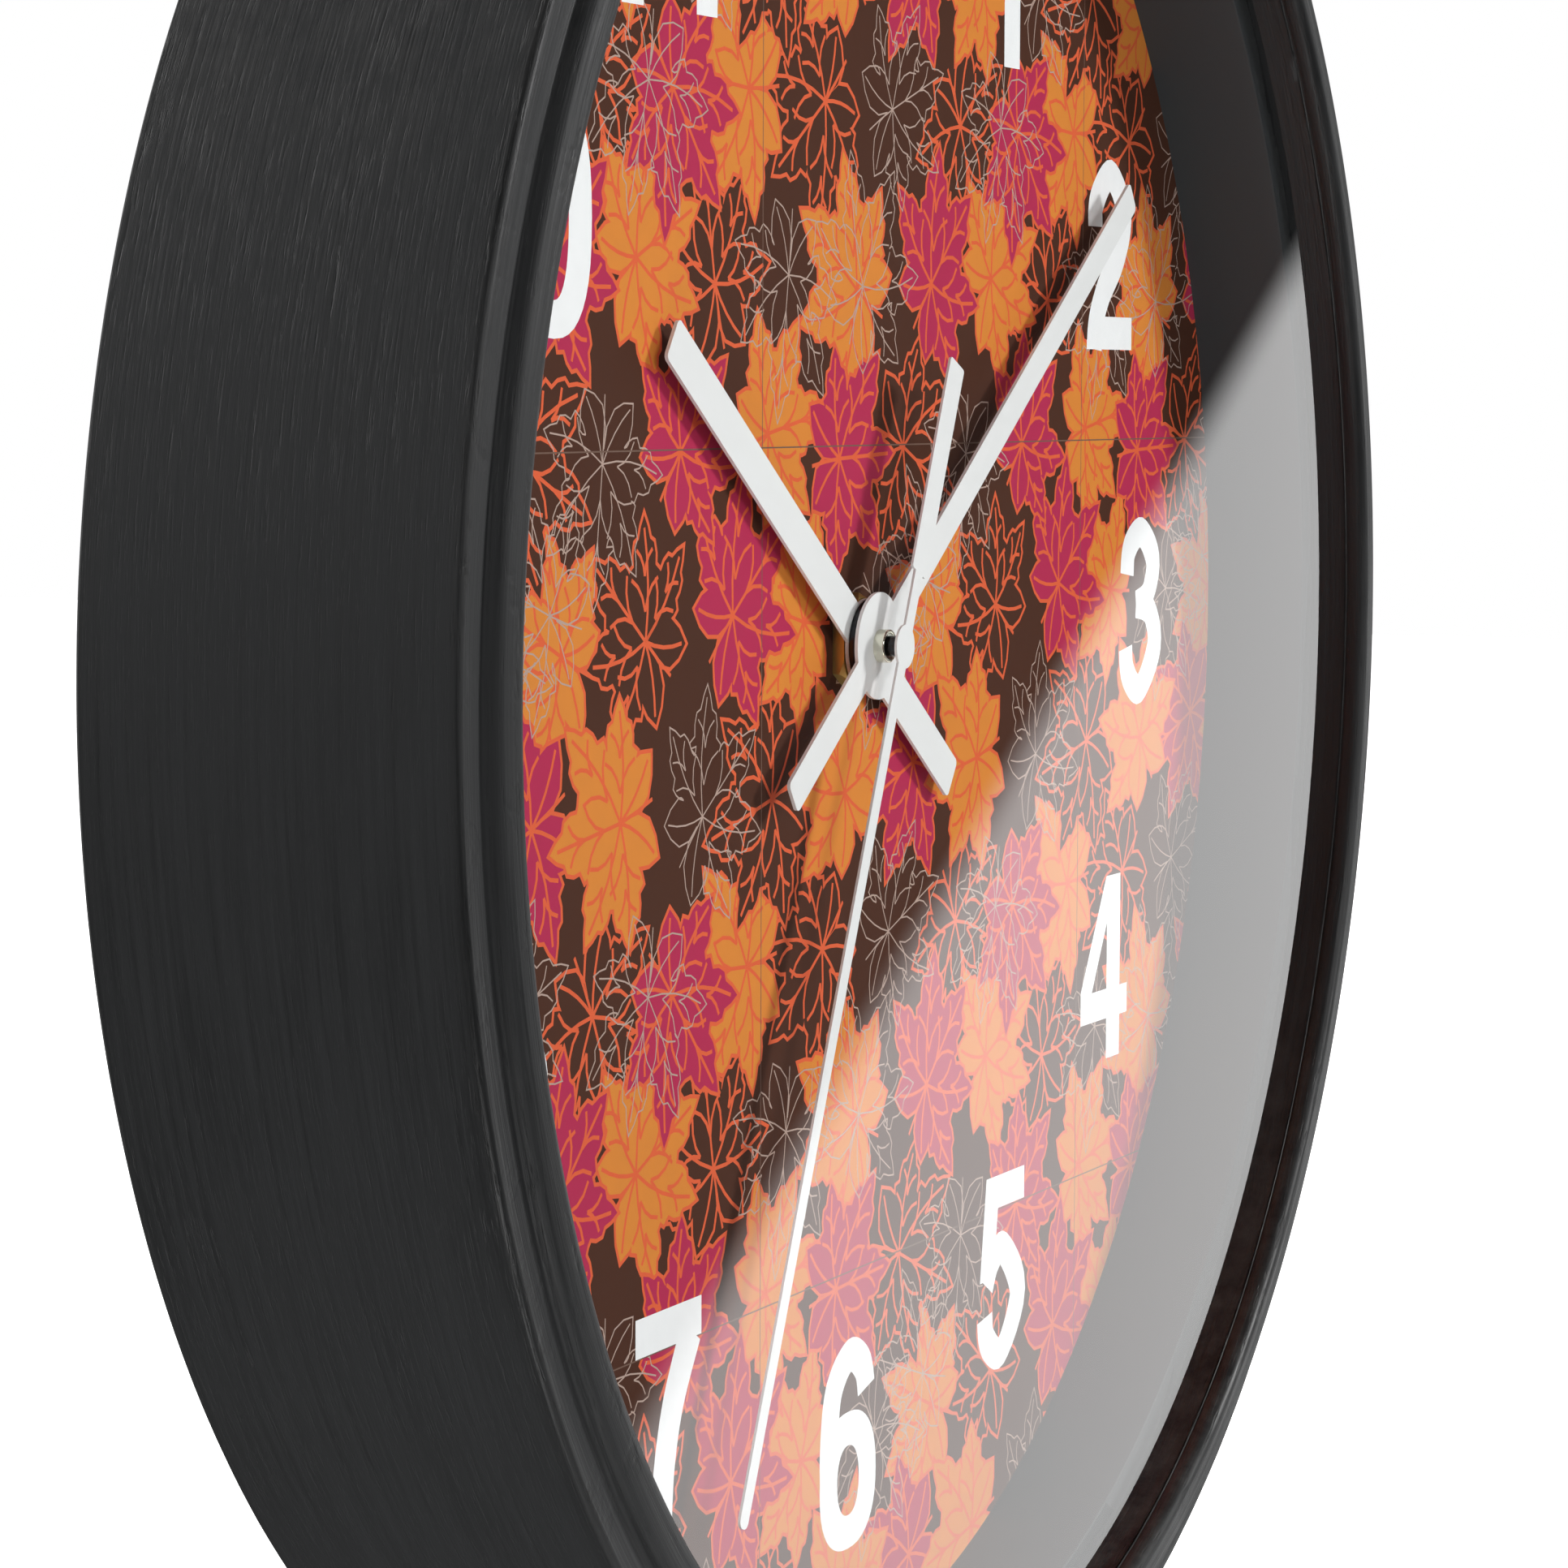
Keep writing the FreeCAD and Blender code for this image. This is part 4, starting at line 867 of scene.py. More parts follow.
rim = {
    "radius": 126.98, "back": 0.01, "backChamfer": 0.6, "shoulder": 0.7, "faceDepth": 40.0,
    "beadOuter": 122.9,
    "beadCrest": (119.5, 41.99), "beadInner": 118.15, "lipDepth": 39.5, "groove": (119.3, 39.0, 39.4),
    "bore": 118.9, "rabbet": 122.0, "glassFront": 35.2, "segments": 480, "ripple": 0.07, "rippleScale": 240.0,
}


# half profile of the turned frame: radius, depth and how worn the spot is
def makeRim(plan):
    radius, face, shoulder, bead = plan["radius"], plan["faceDepth"], plan["shoulder"], plan["beadOuter"]
    crest, lip, groove = plan["beadCrest"], plan["lipDepth"], plan["groove"]
    points, worn = [], []

    def add(new, wear):
        points.extend(new)
        worn.extend([wear] * len(new))

    add([(radius, plan["backChamfer"])], 0.6)
    add([(radius, plan["backChamfer"] + 1.2)], 0.15)
    add([(radius, (face - shoulder - 1.5) * k / 8) for k in range(1, 9)], 0.0)
    add([(radius, face - shoulder - 0.5)], 0.7)
    add(arc((radius - shoulder, face - shoulder), shoulder, 0, 90, 8), 1.0)
    add([(radius - shoulder - 0.5, face)], 0.5)
    add([(bead + 0.5, face), (bead + 0.2, face + 0.06), (bead + 0.04, face + 0.22)], 0.0)
    add([(bead - 0.03, face + 0.5)], 0.3)
    add(arc((bead - 1.5, face + 0.5), 1.5, 12, 62, 6), 0.2)
    add([(crest[0] + 0.9, crest[1] - 0.10), (crest[0] + 0.4, crest[1] - 0.02), crest], 0.6)
    add(arc((crest[0], crest[1] - 1.35), 1.35, 100, 180, 8), 0.5)
    add([(plan["beadInner"] + 0.06, lip + 0.45), (plan["beadInner"] + 0.22, lip + 0.08)], 0.4)
    add([(groove[0], groove[2])], 0.0)
    add([(groove[0], groove[1])], 0.0)
    add([(plan["bore"] + 0.12, groove[1] - 0.02), (plan["bore"], groove[1] - 0.16)], 1.0)
    add([(plan["bore"], groove[1] - 1.0)], 0.7)
    add([(plan["bore"], plan["glassFront"] + 1.2), (plan["bore"], plan["glassFront"])], 0.0)
    add([(plan["rabbet"], plan["glassFront"])], 0.0)
    add([(plan["rabbet"], plan["glassFront"] * k / 4) for k in (3, 2, 1)], 0.0)
    add([(plan["rabbet"], 0.3), (plan["rabbet"] + 0.3, plan["back"])], 0.4)
    corner = radius - plan["backChamfer"]
    add([(corner - 1.6, plan["back"]), (corner, plan["back"])], 0.4)
    piece = sweepRing("wood_rim", points, worn, 120.0, materials["black_wood"], plan["segments"],
                      plan["ripple"], plan["rippleScale"])
    piece.visible_glossy = False  # the cover mirrors the card, not the lip
    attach(piece, "clock")
    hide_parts("wood_frame")
    return piece


makeRim(rim)
print("wooden frame made")


# black ring between the cover and the dial

liner = {
    "outer": 121.7, "inner": 118.0, "front": 33.2, "back": 19.6, "lip": 0.25, "segments": 320, "ripple": 0.03,
}


def makeLiner(plan):
    outer, inner, front, back, lip = (plan[k] for k in ("outer", "inner", "front", "back", "lip"))
    points = [(outer, back), (outer, front)]
    points += arc((inner + lip, front - lip), lip, 90, 180, 4)
    points += [(inner, front + (back - front) * k / 6) for k in range(1, 6)]
    points += [(inner, back)]
    piece = sweepRing("liner_ring", points, [0.0] * len(points), 120.0, materials["black_liner"],
                      plan["segments"], plan["ripple"], 140.0)
    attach(piece, "clock")
    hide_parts("inner_wall")


makeLiner(liner)
print("inner ring made")


# dark ring on the hour hand, under the minute hand: painted shadow, a dark piece standing in for the shade
# that the minute hand's eye casts on the hour hand's eye
shadeRing = {"outer": 5.25, "inner": 2.35, "back": 21.58, "front": 22.42, "round": 0.3, "segments": 96}


def makeCollar(plan):
    outer, inner, back, front, turn = (plan[k] for k in ("outer", "inner", "back", "front", "round"))
    points = [(outer, back)] + arc((outer - turn, front - turn), turn, 0, 90, 4)
    points += arc((inner + turn, front - turn), turn, 90, 180, 4) + [(inner, back)]
    # painted shadow: this dark ring stands where the hour hand's eye lies in the minute hand's shade
    piece = sweepRing("hour_shade_ring", points, [0.0] * len(points), 3.6, materials["dark_collet"],
                      plan["segments"])
    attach(piece, "hour")


makeCollar(shadeRing)
print("hour hand's collar made")


# raised marks and ribs moulded on the back of the movement case
caseMarks = {
    "face": 0.86, "top": 0.48, "draft": 0.10, "knob": (-11.4, -1.5), "arrowReach": 7.0, "arrowWidth": 0.7,
    "arrowArc": (25, 155), "arrowHead": 1.25, "plus": (20.6, -8.3), "minus": (-21.0, -8.3), "markSize": 1.5,
    "markWidth": 0.55, "border": 25.6, "borderLow": 8.8, "borderWidth": 0.5, "borderGap": 0.25,
    "pins": ((22.5, 3.4), (-22.5, 3.4)), "pinSize": 1.5,
    "ribs": 8, "ribStep": 1.7, "ribFirst": (11.4, 17.4), "ribSize": (0.75, 8.6, 0.36), "ribRound": 0.16,
    "knobFace": 0.95, "knobTop": 0.55, "knobBar": (0.35, 2.8, 1.3),
}


def raisedMarks(name, outlines, plan, material):  # flat outlines (x, z) in mm raised with drafted sides
    shape = bmesh.new()
    for outline in outlines:
        line = outline if area(outline) > 0 else outline[::-1]
        count, inner = len(line), []
        for k, point in enumerate(line):
            runs = []
            for a, b in ((line[k - 1], point), (point, line[(k + 1) % count])):
                length = math.hypot(b[0] - a[0], b[1] - a[1])
                runs.append(((a[1] - b[1]) / length, (b[0] - a[0]) / length))
            x, y = runs[0][0] + runs[1][0], runs[0][1] + runs[1][1]
            length = math.hypot(x, y) or 1.0
            size = plan["draft"] / max((x * runs[0][0] + y * runs[0][1]) / length, 0.4)
            inner.append((point[0] + x / length * size, point[1] + y / length * size))
        levels = ((line, plan["face"]), (line, plan["top"] + plan["draft"]), (inner, plan["top"]))
        loops = [[shape.verts.new((x * mm, -depth * mm, z * mm)) for x, z in places]
                 for places, depth in levels]
        shape.faces.new(loops[0])
        shape.faces.new(loops[2])
        for low, high in zip(loops, loops[1:]):
            for k in range(count):
                shape.faces.new((low[k], low[(k + 1) % count], high[(k + 1) % count], high[k]))
    shape.normal_update()  # a bent outline is cut up wrongly without its normal
    bmesh.ops.triangulate(shape, faces=[face for face in shape.faces if len(face.verts) > 4])
    bmesh.ops.recalc_face_normals(shape, faces=shape.faces)
    mesh = bpy.data.meshes.new(name)
    shape.to_mesh(mesh)
    shape.free()
    mesh.materials.append(material)
    return newObject(name, mesh)


def curvedArrow(centre, reach, width, start, end, head):  # flat band on a circle that ends in an arrow head
    outer, inner = [], []
    for k in range(17):
        angle = math.radians(start + (end - start) * k / 16)
        for line, side in ((outer, width / 2), (inner, -width / 2)):
            line.append((centre[0] + (reach + side) * math.cos(angle),
                         centre[1] + (reach + side) * math.sin(angle)))
    angle = math.radians(end)
    ahead = math.radians(end + math.copysign(math.degrees(head * 1.6 / reach), end - start))
    tip = [(centre[0] + (reach + side) * math.cos(turn), centre[1] + (reach + side) * math.sin(turn))
           for side, turn in ((head, angle), (0.0, ahead), (-head, angle))]
    return outer + tip + inner[::-1]


def ringOutline(low, high, half, width, gap):  # upright frame line as four flat bars
    bars = []
    inset = width + gap
    for x0, z0, x1, z1 in ((-half, high - width, half, high), (-half, low, half, low + width),
                           (-half, low + inset, -half + width, high - inset),
                           (half - width, low + inset, half, high - inset)):
        bars.append([(x0, z0), (x1, z0), (x1, z1), (x0, z1)])
    return bars


def makeCaseMarks(plan):
    knob, size, half = plan["knob"], plan["markSize"], plan["markWidth"] / 2
    start, end = plan["arrowArc"]
    outlines = [curvedArrow(knob, plan["arrowReach"], plan["arrowWidth"], start, end, plan["arrowHead"])]
    x, z = plan["plus"]
    outlines.append([(x - size, z - half), (x - half, z - half), (x - half, z - size), (x + half, z - size),
                     (x + half, z - half), (x + size, z - half), (x + size, z + half), (x + half, z + half),
                     (x + half, z + size), (x - half, z + size), (x - half, z + half), (x - size, z + half)])
    x, z = plan["minus"]
    outlines.append([(x - size, z - half), (x + size, z - half), (x + size, z + half), (x - size, z + half)])
    border = plan["border"]
    outlines += ringOutline(plan["borderLow"], border, border, plan["borderWidth"], plan["borderGap"])
    for x, z in plan["pins"]:
        outlines.append([(x + plan["pinSize"] * u, z + plan["pinSize"] * v) for u, v in circle(1.0, 24)])
    piece = raisedMarks("case_marks", outlines, plan, materials["moulded_mark"])
    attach(piece, "clock")
    x, z = knob
    bar, reach, head = plan["knobBar"]
    neck = z + reach - head
    pointer = [(x - bar, z - reach), (x + bar, z - reach), (x + bar, neck), (x + head, neck),
               (x, z + reach), (x - head, neck), (x - bar, neck)]
    piece = raisedMarks("knob_mark", [pointer], {**plan, "face": plan["knobFace"], "top": plan["knobTop"]},
                        materials["moulded_mark"])
    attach(piece, "setting")


def ribRowTree(material):  # one rib repeated along a line
    tree, first, last = geometryTree("ribRow", [
        ("Count", "Int", 8), ("Step", "Float", 0.0017), ("First", "Vector", (0, 0, 0)),
    ])
    row = tree.nodes.new("GeometryNodeMeshLine")
    offset = tree.nodes.new("ShaderNodeCombineXYZ")
    copies = tree.nodes.new("GeometryNodeInstanceOnPoints")
    wire(first, "Count", row, "Count")
    wire(first, "First", row, "Start Location")
    wire(first, "Step", offset, "X")
    wire(offset, 0, row, "Offset")
    wire(row, 0, copies, "Points")
    wire(first, "Geometry", copies, "Instance")
    endTree(tree, copies.outputs[0], last, material)
    return tree


def makeCaseRibs(plan):
    width, height, rise = plan["ribSize"]
    rib = bmesh.new()
    bmesh.ops.create_cube(rib, size=1.0)
    for corner in rib.verts:
        corner.co = (corner.co.x * width * mm, corner.co.y * rise * mm, corner.co.z * height * mm)
    bmesh.ops.bevel(rib, geom=rib.edges, offset=plan["ribRound"] * mm, segments=3, profile=0.5,
                    affect="EDGES")
    mesh = bpy.data.meshes.new("rib")
    rib.to_mesh(mesh)
    rib.free()
    x, z = plan["ribFirst"]
    depth = plan["face"] - rise / 2
    piece = grow("case_ribs", mesh, ribRowTree(materials["moulded_mark"]), {
        "Count": plan["ribs"], "Step": plan["ribStep"] * mm, "First": (x * mm, -depth * mm, z * mm),
    })
    outwards(piece)
    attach(piece, "clock")


# printed dial: leaves, then numerals, laid flat one over the other

leafPrint = {
    "tile": (93.9, 94.8), "corner": (-23.7, -72.2), "grid": 5,
    "size": 15.8, "sizeSpread": 0.06, "jitter": 1.7,
    "outline": 0.9, "vein": 0.44, "pale": 0.18, "seam": 0.16, "seed": 23,
    "kinds": ("orange",) * 8 + ("crimson",) * 6 + ("ground",) * 6 + ("pale",) * 5, "rowShift": 0.4,
    "loosePale": ((0.28, 0.19), (0.71, 0.40), (0.48, 0.83)),
}
dial = {"radius": 121.7, "hole": 4.3, "front": 19.6, "back": 19.3, "sides": 300, "numeralReach": 92.3}
# bearing of the lobe from the leaf's tip, its length and its half width
lobes = ((0, 1.0, 0.245), (46, 0.95, 0.24), (94, 0.85, 0.235), (142, 0.58, 0.20))


def bow(start, end, bulge, steps):  # points of a bowed line from start up to end, leaving out end
    dx, dy = end[0] - start[0], end[1] - start[1]
    middle = ((start[0] + end[0]) / 2 - dy * bulge * 2, (start[1] + end[1]) / 2 + dx * bulge * 2)
    points = []
    for k in range(steps):
        t = k / steps
        parts = ((1 - t) ** 2, 2 * t * (1 - t), t * t)
        points.append(tuple(parts[0] * a + parts[1] * b + parts[2] * c
                            for a, b, c in zip(start, middle, end)))
    return points


def leafShape(dice):  # lobes and veins of a leaf of unit reach, with its stalk downwards
    order = [(-bearing, length, half) for bearing, length, half in reversed(lobes[1:])] + list(lobes)
    grown = []
    for bearing, length, half in order:
        bearing += dice.uniform(-4, 4)
        longer, wider = dice.uniform(0.92, 1.07), dice.uniform(0.9, 1.08)
        grown.append((math.radians(bearing), length * longer, half * wider))

    def at(lobe, along, side):
        angle, length, half = lobe
        x, y = math.sin(angle), math.cos(angle)
        return x * length * along + y * half * side, y * length * along - x * half * side

    clefts = []
    for one, other in zip(grown, grown[1:]):
        middle, depth = (one[0] + other[0]) / 2, 0.55 * min(one[1], other[1])
        clefts.append((math.sin(middle) * depth, math.cos(middle) * depth))
    base = (0.0, -0.10)
    parts, veins = [], []
    for lobe, start, end in zip(grown, [base] + clefts, clefts + [base]):
        tip = at(lobe, 1.0, 0.0)
        if lobe[1] > 0.62:
            part = bow(start, at(lobe, 0.55, -1.0), 0.10, 3) + [at(lobe, 0.55, -1.0)]
            part += bow(at(lobe, 0.60, -0.70), at(lobe, 0.78, -0.62), 0.09, 2) + [at(lobe, 0.78, -0.62)]
            part += bow(at(lobe, 0.81, -0.37), tip, 0.05, 2) + bow(tip, at(lobe, 0.81, 0.37), 0.05, 2)
            part += [at(lobe, 0.81, 0.37), at(lobe, 0.78, 0.62)]
            part += bow(at(lobe, 0.78, 0.62), at(lobe, 0.60, 0.70), 0.09, 2)[1:] + [at(lobe, 0.60, 0.70)]
            part += bow(at(lobe, 0.55, 1.0), end, 0.10, 3) + [end]
        else:
            part = bow(start, at(lobe, 0.62, -0.85), 0.12, 2) + bow(at(lobe, 0.62, -0.85), tip, 0.08, 2)
            part += bow(tip, at(lobe, 0.62, 0.85), 0.08, 2) + bow(at(lobe, 0.62, 0.85), end, 0.12, 2) + [end]
        parts.append(part)
        lean = 0.0 if abs(lobe[0]) < 0.3 else math.copysign(0.06, -lobe[0])
        veins.append(bow((0.0, 0.0), at(lobe, 0.90, 0.0), lean, 4) + [at(lobe, 0.90, 0.0)])
        if lobe[1] > 0.62:
            for root, reach, side in ((0.24, 0.50, 0.86), (0.52, 0.73, 0.52)):
                for hand in (-1, 1):
                    stop = at(lobe, reach, hand * side)
                    veins.append(bow(at(lobe, root, 0.0), stop, 0.13 * hand, 3) + [stop])
    veins.append([(0.0, 0.0), (0.02, -0.24), (0.05, -0.46)])
    return parts, veins


def area(points):
    return sum(a[0] * b[1] - b[0] * a[1] for a, b in zip(points, points[1:] + points[:1])) / 2


def stroke(points, width, closed):  # flat pieces that cover a line of that width
    count, sides = len(points), []
    for k, point in enumerate(points):
        after = points[(k + 1) % count] if closed or k + 1 < count else None
        before = points[k - 1] if closed or k else None
        runs = []
        for a, b in ((before, point), (point, after)):
            if a and b:
                length = math.hypot(b[0] - a[0], b[1] - a[1])
                runs.append(((a[1] - b[1]) / length, (b[0] - a[0]) / length))
        x, y = runs[0][0] + runs[-1][0], runs[0][1] + runs[-1][1]
        length = math.hypot(x, y) or 1.0
        x, y = x / length, y / length
        half = width / 2 / max(x * runs[0][0] + y * runs[0][1], 0.5)
        sides.append(((point[0] + x * half, point[1] + y * half), (point[0] - x * half, point[1] - y * half)))
    flat = []
    for k in range(count if closed else count - 1):
        (a, b), (d, c) = sides[k], sides[(k + 1) % count]
        corners = (a, b, c, d)
        turns = [area([corners[n - 1], corners[n], corners[(n + 1) % 4]]) for n in range(4)]
        if all(turn > 1e-6 for turn in turns):
            flat.append([a, b, c, d])
            continue
        for part in ([a, b, c], [a, c, d]):
            size = area(part)
            if abs(size) > 1e-6:
                flat.append(part if size > 0 else part[::-1])
    return flat


# gives each place a kind, far from the others of its kind, across the seams too
def spreadKinds(places, kinds, tile):
    left, placed = list(kinds), []
    for x, y in places:
        room = {}
        for kind in sorted(set(left)):
            gaps = [math.hypot(min(abs(x - u), tile[0] - abs(x - u)), min(abs(y - v), tile[1] - abs(y - v)))
                    for other, u, v in placed if other == kind]
            room[kind] = min(gaps, default=60.0) * left.count(kind) ** 0.5
        best = max(room, key=room.get)
        left.remove(best)
        placed.append((best, x, y))
    return placed


def layLeaves(plan, reach):  # flat shapes of the leaf print with their inks, from the lowest to the topmost
    dice = random.Random(plan["seed"])
    across, up = plan["tile"]
    step = (across / plan["grid"], up / plan["grid"])
    spots = []
    for row in range(plan["grid"]):
        for column in range(plan["grid"]):
            x = (column + plan["rowShift"] * row) * step[0] + dice.uniform(-1, 1) * plan["jitter"]
            y = row * step[1] + dice.uniform(-1, 1) * plan["jitter"]
            spots.append((x % across, y % up))
    spots = spreadKinds(spots, plan["kinds"], plan["tile"])
    spots += [("pale", x * across, y * up) for x, y in plan["loosePale"]]
    leaves = []
    for kind, x, y in spots:
        size = plan["size"] * dice.uniform(1 - plan["sizeSpread"], 1 + plan["sizeSpread"])
        height = dice.random() - (0.6 if kind == "ground" else 0.0) + (2.0 if kind == "pale" else 0.0)
        leaves.append((height, kind, x, y, size, dice.uniform(0, 6.283), leafShape(dice)))
    leaves.sort(key=lambda leaf: leaf[0])
    low = [math.floor((-reach - corner) / side) for corner, side in zip(plan["corner"], plan["tile"])]
    high = [math.ceil((reach - corner) / side) for corner, side in zip(plan["corner"], plan["tile"])]
    paint = []
    for _, kind, x, y, size, turn, (parts, veins) in leaves:
        pale = kind == "pale"
        cos, sin = math.cos(turn) * size, math.sin(turn) * size
        for column in range(low[0] - 1, high[0] + 1):
            for row in range(low[1] - 1, high[1] + 1):
                cx = plan["corner"][0] + x + column * across
                cy = plan["corner"][1] + y + row * up
                if math.hypot(cx, cy) > reach + size:
                    continue

                def lay(line):
                    return [(cx + u * cos - v * sin, cy + u * sin + v * cos) for u, v in line]

                ink = inkNumber["pale" if pale else "outline"]
                edgeWidth = plan["pale"] if pale else plan["outline"]
                for part in parts:
                    paint += [(flat, ink) for flat in stroke(lay(part), edgeWidth, False)]
                if not pale:  # the fill hides the inner half of the edge and whatever lies under the leaf
                    for part in parts:
                        fill = lay([(0.0, 0.0)] + part)
                        paint.append((fill if area(fill) > 0 else fill[::-1], inkNumber[kind]))
                for vein in veins:
                    width = plan["pale" if pale else "vein"]
                    paint += [(flat, ink) for flat in stroke(lay(vein), width, False)]
    half = plan["seam"] / 2
    for column in range(low[0], high[0] + 1):
        x = plan["corner"][0] + column * across
        paint.append(([(x - half, -reach), (x + half, -reach), (x + half, reach), (x - half, reach)],
                      inkNumber["seam"]))
    for row in range(low[1], high[1] + 1):
        y = plan["corner"][1] + row * up
        paint.append(([(-reach, y - half), (reach, y - half), (reach, y + half), (-reach, y + half)],
                      inkNumber["seam"]))
    return paint


# each numeral is laid in white and cut away again, in a box this wide and high
digitBox = {"width": 17.1, "height": 24.0}


def bowl(x, y, wide, high, power, steps=40):  # rounded-square outline of a plain bold numeral's bowl
    points = []
    for k in range(steps):
        angle = 2 * math.pi * k / steps
        c, s = math.cos(angle), math.sin(angle)
        points.append((x + wide * math.copysign(abs(c) ** (2 / power), c),
                       y + high * math.copysign(abs(s) ** (2 / power), s)))
    return points


def penLine(places, steps=6):  # outline of a pen line through (x, y, width) places
    fine = []
    for k in range(len(places) - 1):
        p = [Vector(places[min(max(k + n, 0), len(places) - 1)]) for n in (-1, 0, 1, 2)]
        for n in range(steps):
            t = n / steps
            fine.append(0.5 * (2 * p[1] + (p[2] - p[0]) * t + (2 * p[0] - 5 * p[1] + 4 * p[2] - p[3]) * t * t
                               + (3 * p[1] - p[0] - 3 * p[2] + p[3]) * t ** 3))
    fine.append(Vector(places[-1]))
    left, right = [], []
    for k, point in enumerate(fine):
        run = (fine[min(k + 1, len(fine) - 1)] - fine[max(k - 1, 0)]).to_2d().normalized() * point.z / 2
        left.append((point.x - run.y, point.y + run.x))
        right.append((point.x + run.y, point.y - run.x))
    outline = left + right[::-1]
    return outline if area(outline) > 0 else outline[::-1]


def digitShapes(digit):  # (white or cut, outline) of one numeral
    if digit == "0":
        return [(1, bowl(8.4, 12, 8.1, 12.3, 2.5)), (0, bowl(8.4, 12, 3.2, 8.5, 2.3))]
    if digit == "1":
        flag = bow((7.4, 24.0), (1.8, 19.6), -0.12, 5)
        return [(1, [(6.3, 0), (11.2, 0), (11.2, 24.0)] + flag + [(1.8, 19.6), (1.8, 16.2), (6.3, 16.2)])]
    if digit == "2":
        pen = [(3.15, 15.6, 4.9), (3.6, 18.9, 4.8), (8.4, 22.25, 4.1), (13.3, 17.6, 5.0), (11.2, 12.2, 4.9),
               (6.2, 7.4, 4.8), (3.6, 3.4, 5.0), (3.1, 0.0, 5.2)]
        return [(1, penLine(pen)), (1, [(0.5, 0), (16.3, 0), (16.3, 4.2), (4.6, 4.2), (0.5, 1.2)])]
    if digit == "3":
        upper = [(3.2, 16.9, 4.8), (4.0, 20.3, 4.6), (8.3, 22.3, 4.0), (12.7, 18.5, 4.9), (10.7, 14.0, 4.2),
                 (6.6, 12.9, 3.6)]
        lower = [(6.6, 12.9, 3.6), (11.4, 11.9, 4.2), (13.5, 7.2, 5.0), (8.2, 1.75, 4.0), (3.8, 3.9, 4.6),
                 (2.9, 7.3, 4.8)]
        return [(1, penLine(upper)), (1, penLine(lower))]
    if digit == "4":
        outer = [(9.5, 0), (14.2, 0), (14.2, 5.3), (16.9, 5.3), (16.9, 9.2),
                 (14.2, 9.2), (14.2, 24), (9.2, 24),
                 (0.4, 9.6), (0.4, 5.3), (9.5, 5.3)]
        return [(1, outer), (0, [(9.5, 9.2), (9.5, 17.9), (4.3, 9.2)])]
    if digit == "5":
        stem = [(3.2, 24), (1.3, 11.3), (5.6, 11.3), (6.9, 19.9), (15.4, 19.9), (15.4, 24)]
        pen = [(3.4, 10.6, 4.4), (5.4, 13.5, 4.2), (8.8, 14.5, 4.2), (13.5, 8.4, 5.0), (8.3, 1.75, 4.0),
               (3.8, 3.6, 4.6), (2.9, 6.8, 4.8)]
        return [(1, stem), (1, penLine(pen))]
    if digit in "69":
        pen = [(13.5, 17.6, 4.8), (12.4, 20.6, 4.6), (8.8, 22.25, 4.0), (4.5, 18.9, 4.7), (3.2, 12.6, 4.9),
               (3.3, 7.2, 4.9)]
        shapes = [(1, penLine(pen)), (1, bowl(8.5, 7.7, 7.8, 8.05, 2.35)), (0, bowl(8.5, 7.7, 3.0, 4.1, 2.2))]
        if digit == "9":
            shapes = [(lay, [(16.8 - x, 24 - y) for x, y in line]) for lay, line in shapes]
        return shapes
    if digit == "7":
        pen = [(13.9, 20.6, 5.2), (9.7, 13.6, 5.0), (7.5, 6.6, 5.0), (6.8, 0.0, 5.1)]
        return [(1, [(0.9, 19.8), (16.4, 19.8), (16.4, 24), (0.9, 24)]), (1, penLine(pen))]
    return [(1, bowl(8.4, 17.7, 7.1, 6.6, 2.3)), (1, bowl(8.4, 7.0, 8.0, 7.3, 2.35)),
            (0, bowl(8.4, 17.6, 2.5, 2.9, 2.1)), (0, bowl(8.4, 7.0, 3.1, 3.7, 2.1))]


def layNumerals(reach):
    paint = []
    for hour in range(1, 13):
        bearing = math.radians(hour * 30)
        label = str(hour)
        left = math.sin(bearing) * reach - digitBox["width"] * len(label) / 2
        low = math.cos(bearing) * reach - digitBox["height"] / 2
        for place, digit in enumerate(label):
            x = left + place * digitBox["width"]
            for lay, line in digitShapes(digit):
                moved = [(x + u, low + v) for u, v in line]
                if area(moved) < 0:
                    moved.reverse()
                paint.append((moved, inkNumber["white"] if lay else -1))
    return paint


def flatten(paint):  # cuts overlapping flat shapes into triangles that each have the ink of the topmost shape
    points, shapes, shapeInks, seen = [], [], [], {}
    for line, ink in paint:
        shape = []
        for x, y in line:
            key = (round(x, 4), round(y, 4))
            if key not in seen:
                seen[key] = len(points)
                points.append(Vector(key))
            if not shape or shape[-1] != seen[key]:
                shape.append(seen[key])
        if len(shape) > 2 and len(set(shape)) == len(shape):
            shapes.append(shape)
            shapeInks.append(ink)
    flat = delaunay_2d_cdt(points, [], shapes, 1, 1e-5, True)
    colours = []
    for over in flat[5]:
        colour, cutAway = 0, False
        for number in sorted(over, reverse=True):
            ink = shapeInks[number]
            if ink == -1:
                cutAway = True
            elif not (cutAway and ink == inkNumber["white"]):
                colour = ink
                break
        colours.append(colour)
    return flat[0], flat[2], colours


def circle(radius, sides):
    return [(radius * math.cos(2 * math.pi * k / sides), radius * math.sin(2 * math.pi * k / sides))
            for k in range(sides)]


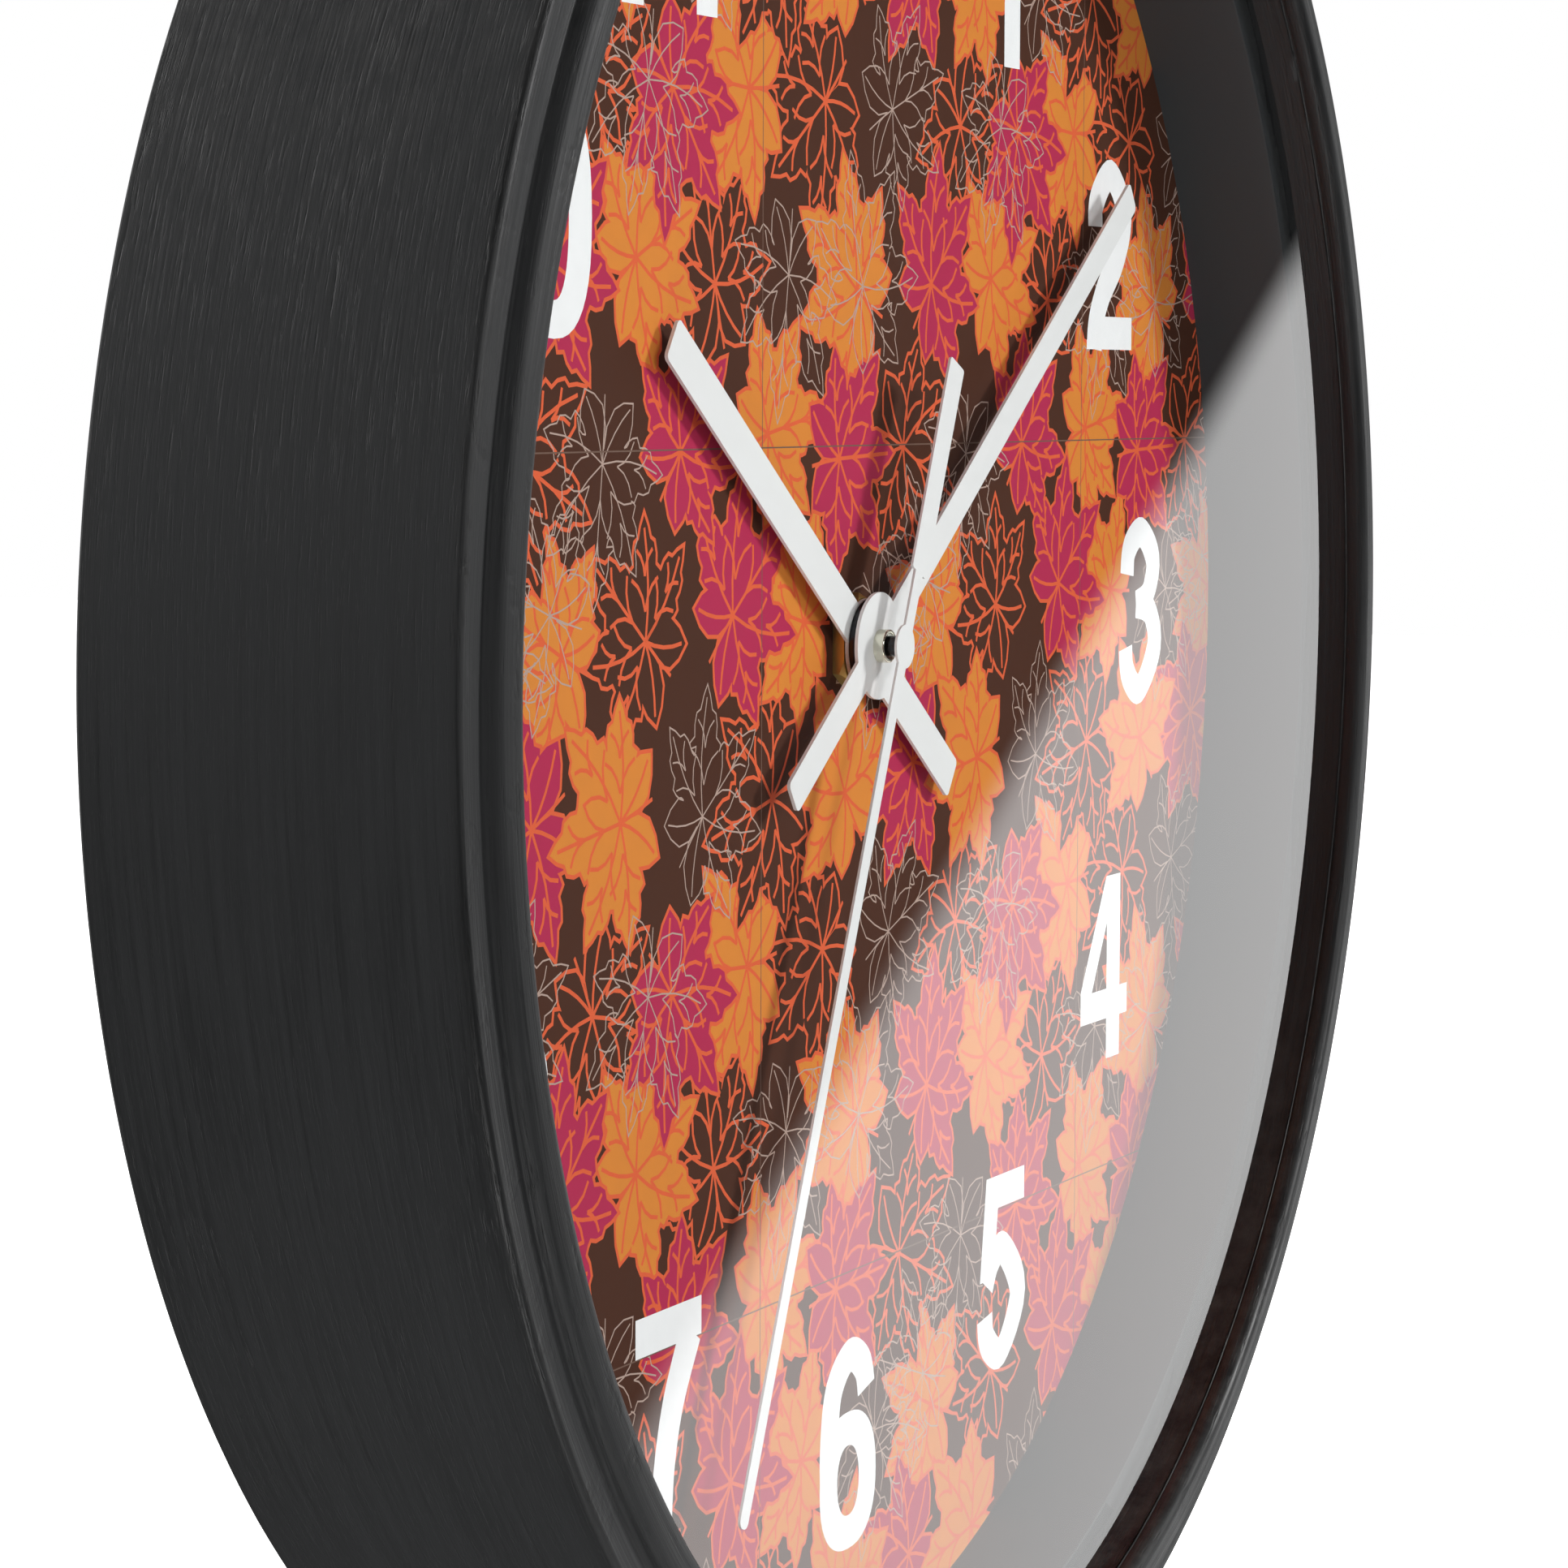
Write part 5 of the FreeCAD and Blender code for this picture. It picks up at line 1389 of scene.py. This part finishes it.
def makeDial(plan, leafPlan):
    reach = plan["radius"]
    paint = [(circle(reach, plan["sides"]), 0)]
    paint += [(line, ink) for line, ink in layLeaves(leafPlan, reach)]
    paint += layNumerals(plan["numeralReach"])
    paint.append((circle(plan["hole"], 48), 0))
    points, triangles, colours = flatten(paint)
    front = bmesh.new()
    corners = [front.verts.new((x * mm, -plan["front"] * mm, z * mm)) for x, z in points]
    for triangle, ink in zip(triangles, colours):
        x = sum(points[n][0] for n in triangle) / 3
        z = sum(points[n][1] for n in triangle) / 3
        if plan["hole"] * 0.999 < math.hypot(x, z) < reach:
            face = front.faces.new([corners[n] for n in triangle])
            face.material_index = ink
    loose = [v for v in front.verts if not v.link_faces]
    bmesh.ops.delete(front, geom=loose, context="VERTS")
    print("print cut into", len(front.faces), "triangles")
    bmesh.ops.dissolve_limit(front, angle_limit=math.radians(3.0), verts=front.verts, edges=front.edges,
                             delimit={"MATERIAL"})
    bmesh.ops.triangulate(front, faces=front.faces)
    print("print holds", len(front.faces), "triangles")
    rimEdges = [edge for edge in front.edges if edge.is_boundary]
    grown = bmesh.ops.extrude_edge_only(front, edges=rimEdges)
    backCorners = [v for v in grown["geom"] if isinstance(v, bmesh.types.BMVert)]
    for v in backCorners:
        v.co.y = -plan["back"] * mm
    sideFaces = [f for f in grown["geom"] if isinstance(f, bmesh.types.BMFace)]
    for f in sideFaces:
        f.material_index = 0
    backEdges = [edge for edge in front.edges if edge.is_boundary]
    filled = bmesh.ops.triangle_fill(front, edges=backEdges, use_beauty=True)
    for f in filled["geom"]:
        if isinstance(f, bmesh.types.BMFace):
            f.material_index = 0
    bmesh.ops.recalc_face_normals(front, faces=front.faces)
    mesh = bpy.data.meshes.new("printed_dial")
    front.to_mesh(mesh)
    front.free()
    for material in inkMaterials:
        mesh.materials.append(material)
    piece = newObject("printed_dial", mesh)
    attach(piece, "clock")
    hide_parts("dial_sheet")


makeCaseMarks(caseMarks)
makeCaseRibs(caseMarks)
print("marks on the case made")
makeDial(dial, leafPrint)
print("printed dial made")
